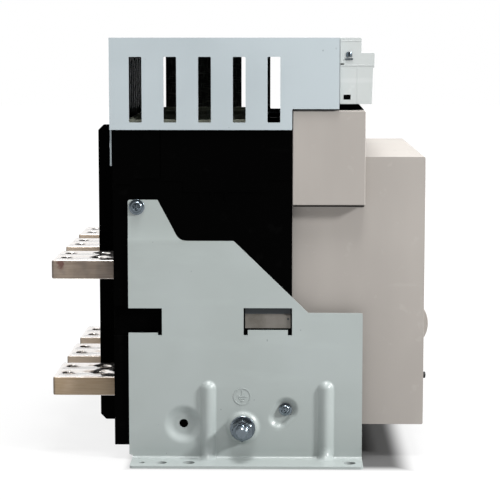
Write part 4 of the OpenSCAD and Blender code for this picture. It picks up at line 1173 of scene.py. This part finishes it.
def stage():
    """A wide pale floor, a world that is dimmer towards -x, and three soft lights.

    The floor glows white, and fades to grey and then black in the shade under the feet.
    """
    mesh = bpy.data.meshes.new("floor")
    mesh.from_pydata([(-9, -9, 0), (9, -9, 0), (9, 9, 0), (-9, 9, 0)], [], [(0, 1, 2, 3)])
    floor = bpy.data.objects.new("floor", mesh)
    bpy.context.scene.collection.objects.link(floor)
    made = Finish("pale_floor", Roughness=0.9, Specular_IOR_Level=0.1, Emission_Strength=0.95)
    along, across = made.axis(0), made.axis(1)
    far = (along * along + across * across).rise(0.1, 0.7)
    clear = (along.size() - 0.2).most(across.size() - 0.12).rise(-0.005, 0.02)
    near = made.mix(clear, colour("0a0a0a"), colour("f0f0f0"))
    made.feed("Emission Color", made.mix(far, near, colour("ffffff")))
    made.feed("Base Color", made.mix(made.noise(3, 2), colour("505050"), colour("565656")))
    mesh.materials.append(made.material)
    world = bpy.data.worlds.new("studio")
    world.use_nodes = True
    tree = world.node_tree
    sky = tree.nodes["Background"]
    sky.inputs["Strength"].default_value = 1.0
    toward = tree.nodes.new("ShaderNodeTexCoord")
    parts = tree.nodes.new("ShaderNodeSeparateXYZ")
    fade = tree.nodes.new("ShaderNodeMapRange")
    for socket, value in ((1, -0.9), (2, -0.15), (3, 0.12), (4, 1.0)):
        fade.inputs[socket].default_value = value
    tree.links.new(toward.outputs["Generated"], parts.inputs["Vector"])
    tree.links.new(parts.outputs["X"], fade.inputs["Value"])
    tree.links.new(fade.outputs["Result"], sky.inputs["Color"])
    bpy.context.scene.world = world
    lamps = (
        ("top_light", (0.4, -0.1, 2.2), (0, 0, 0.2), 1.0, 26),
        ("side_light", (-0.6, -0.1, 2.1), (0, 0, 0.2), 0.6, 36),
        ("key_light", (-1.0, -1.8, 1.2), (-0.1, 0, 0.2), 0.3, 58),
    )
    for name, at, to, width, power in lamps:
        light = bpy.data.lights.new(name, "AREA")
        light.size = width
        light.energy = power
        lamp = bpy.data.objects.new(name, light)
        bpy.context.scene.collection.objects.link(lamp)
        lamp.location = at
        lamp.rotation_euler = (Vector(to) - Vector(at)).to_track_quat("-Z", "Y").to_euler()


def camera():
    """Square to the left side, a little above the middle and tipped down, with a long lens."""
    yaw, pitch = 0.019, 0.117
    forward = Vector((math.cos(pitch) * math.cos(yaw), math.cos(pitch) * math.sin(yaw), -math.sin(pitch)))
    lens = bpy.data.cameras.new("camera")
    lens.lens = 128.76
    made = bpy.data.objects.new("camera", lens)
    bpy.context.scene.collection.objects.link(made)
    made.location = (-1.853, -0.0135, 0.400)
    made.rotation_euler = forward.to_track_quat("-Z", "Y").to_euler()
    bpy.context.scene.camera = made


# ---- Assembly ----

ROLLED = {
    "exhaust_cover": 0.35, "rear_housing": 0.6, "front_housing": 0.6, "phase_barriers": 0.6,
    "upper_front_cover": 0.9, "front_cover": 0.7, "terminal_support": 0.5, "secondary_terminals": 0.35,
    "trip_unit": 0.4, "trip_unit_flap": 0.4, "charging_handle": 0.6, "on_button": 0.8, "off_button": 0.8,
    "reset_button": 0.4, "key_lock_barrel": 0.4, "charging_motor": 0.8, "mechanism_frame": 0.3,
    "spring_follower": 0.4, "closing_coil": 0.3, "trip_coil": 0.3, "main_shaft": 0.3,
    "current_transformers": 0.8,
}
for pole in ("left", "centre", "right"):
    ROLLED["arc_chute_" + pole] = 0.3
    ROLLED["contact_carrier_" + pole] = 0.4

camera()
for name, part in frame["nodes"].items():
    for held in part.material_slots:
        held.material = FINISHES[SLOT_OF[name]]
for name, roll in ROLLED.items():
    softened(name, roll)
terminal_bars()
side_plates()
sheet_lips()
lifting_brackets()
earth_stud()
earth_marks()
plate_screws()
cover_screws()
housing_ridges()
housing_rear()
exhaust_fins()
cover_shadow_strips()
terminal_row()
trip_unit_face()
panel_details()
flap_hinge()
stage()
bpy.context.scene.view_settings.view_transform = "Standard"
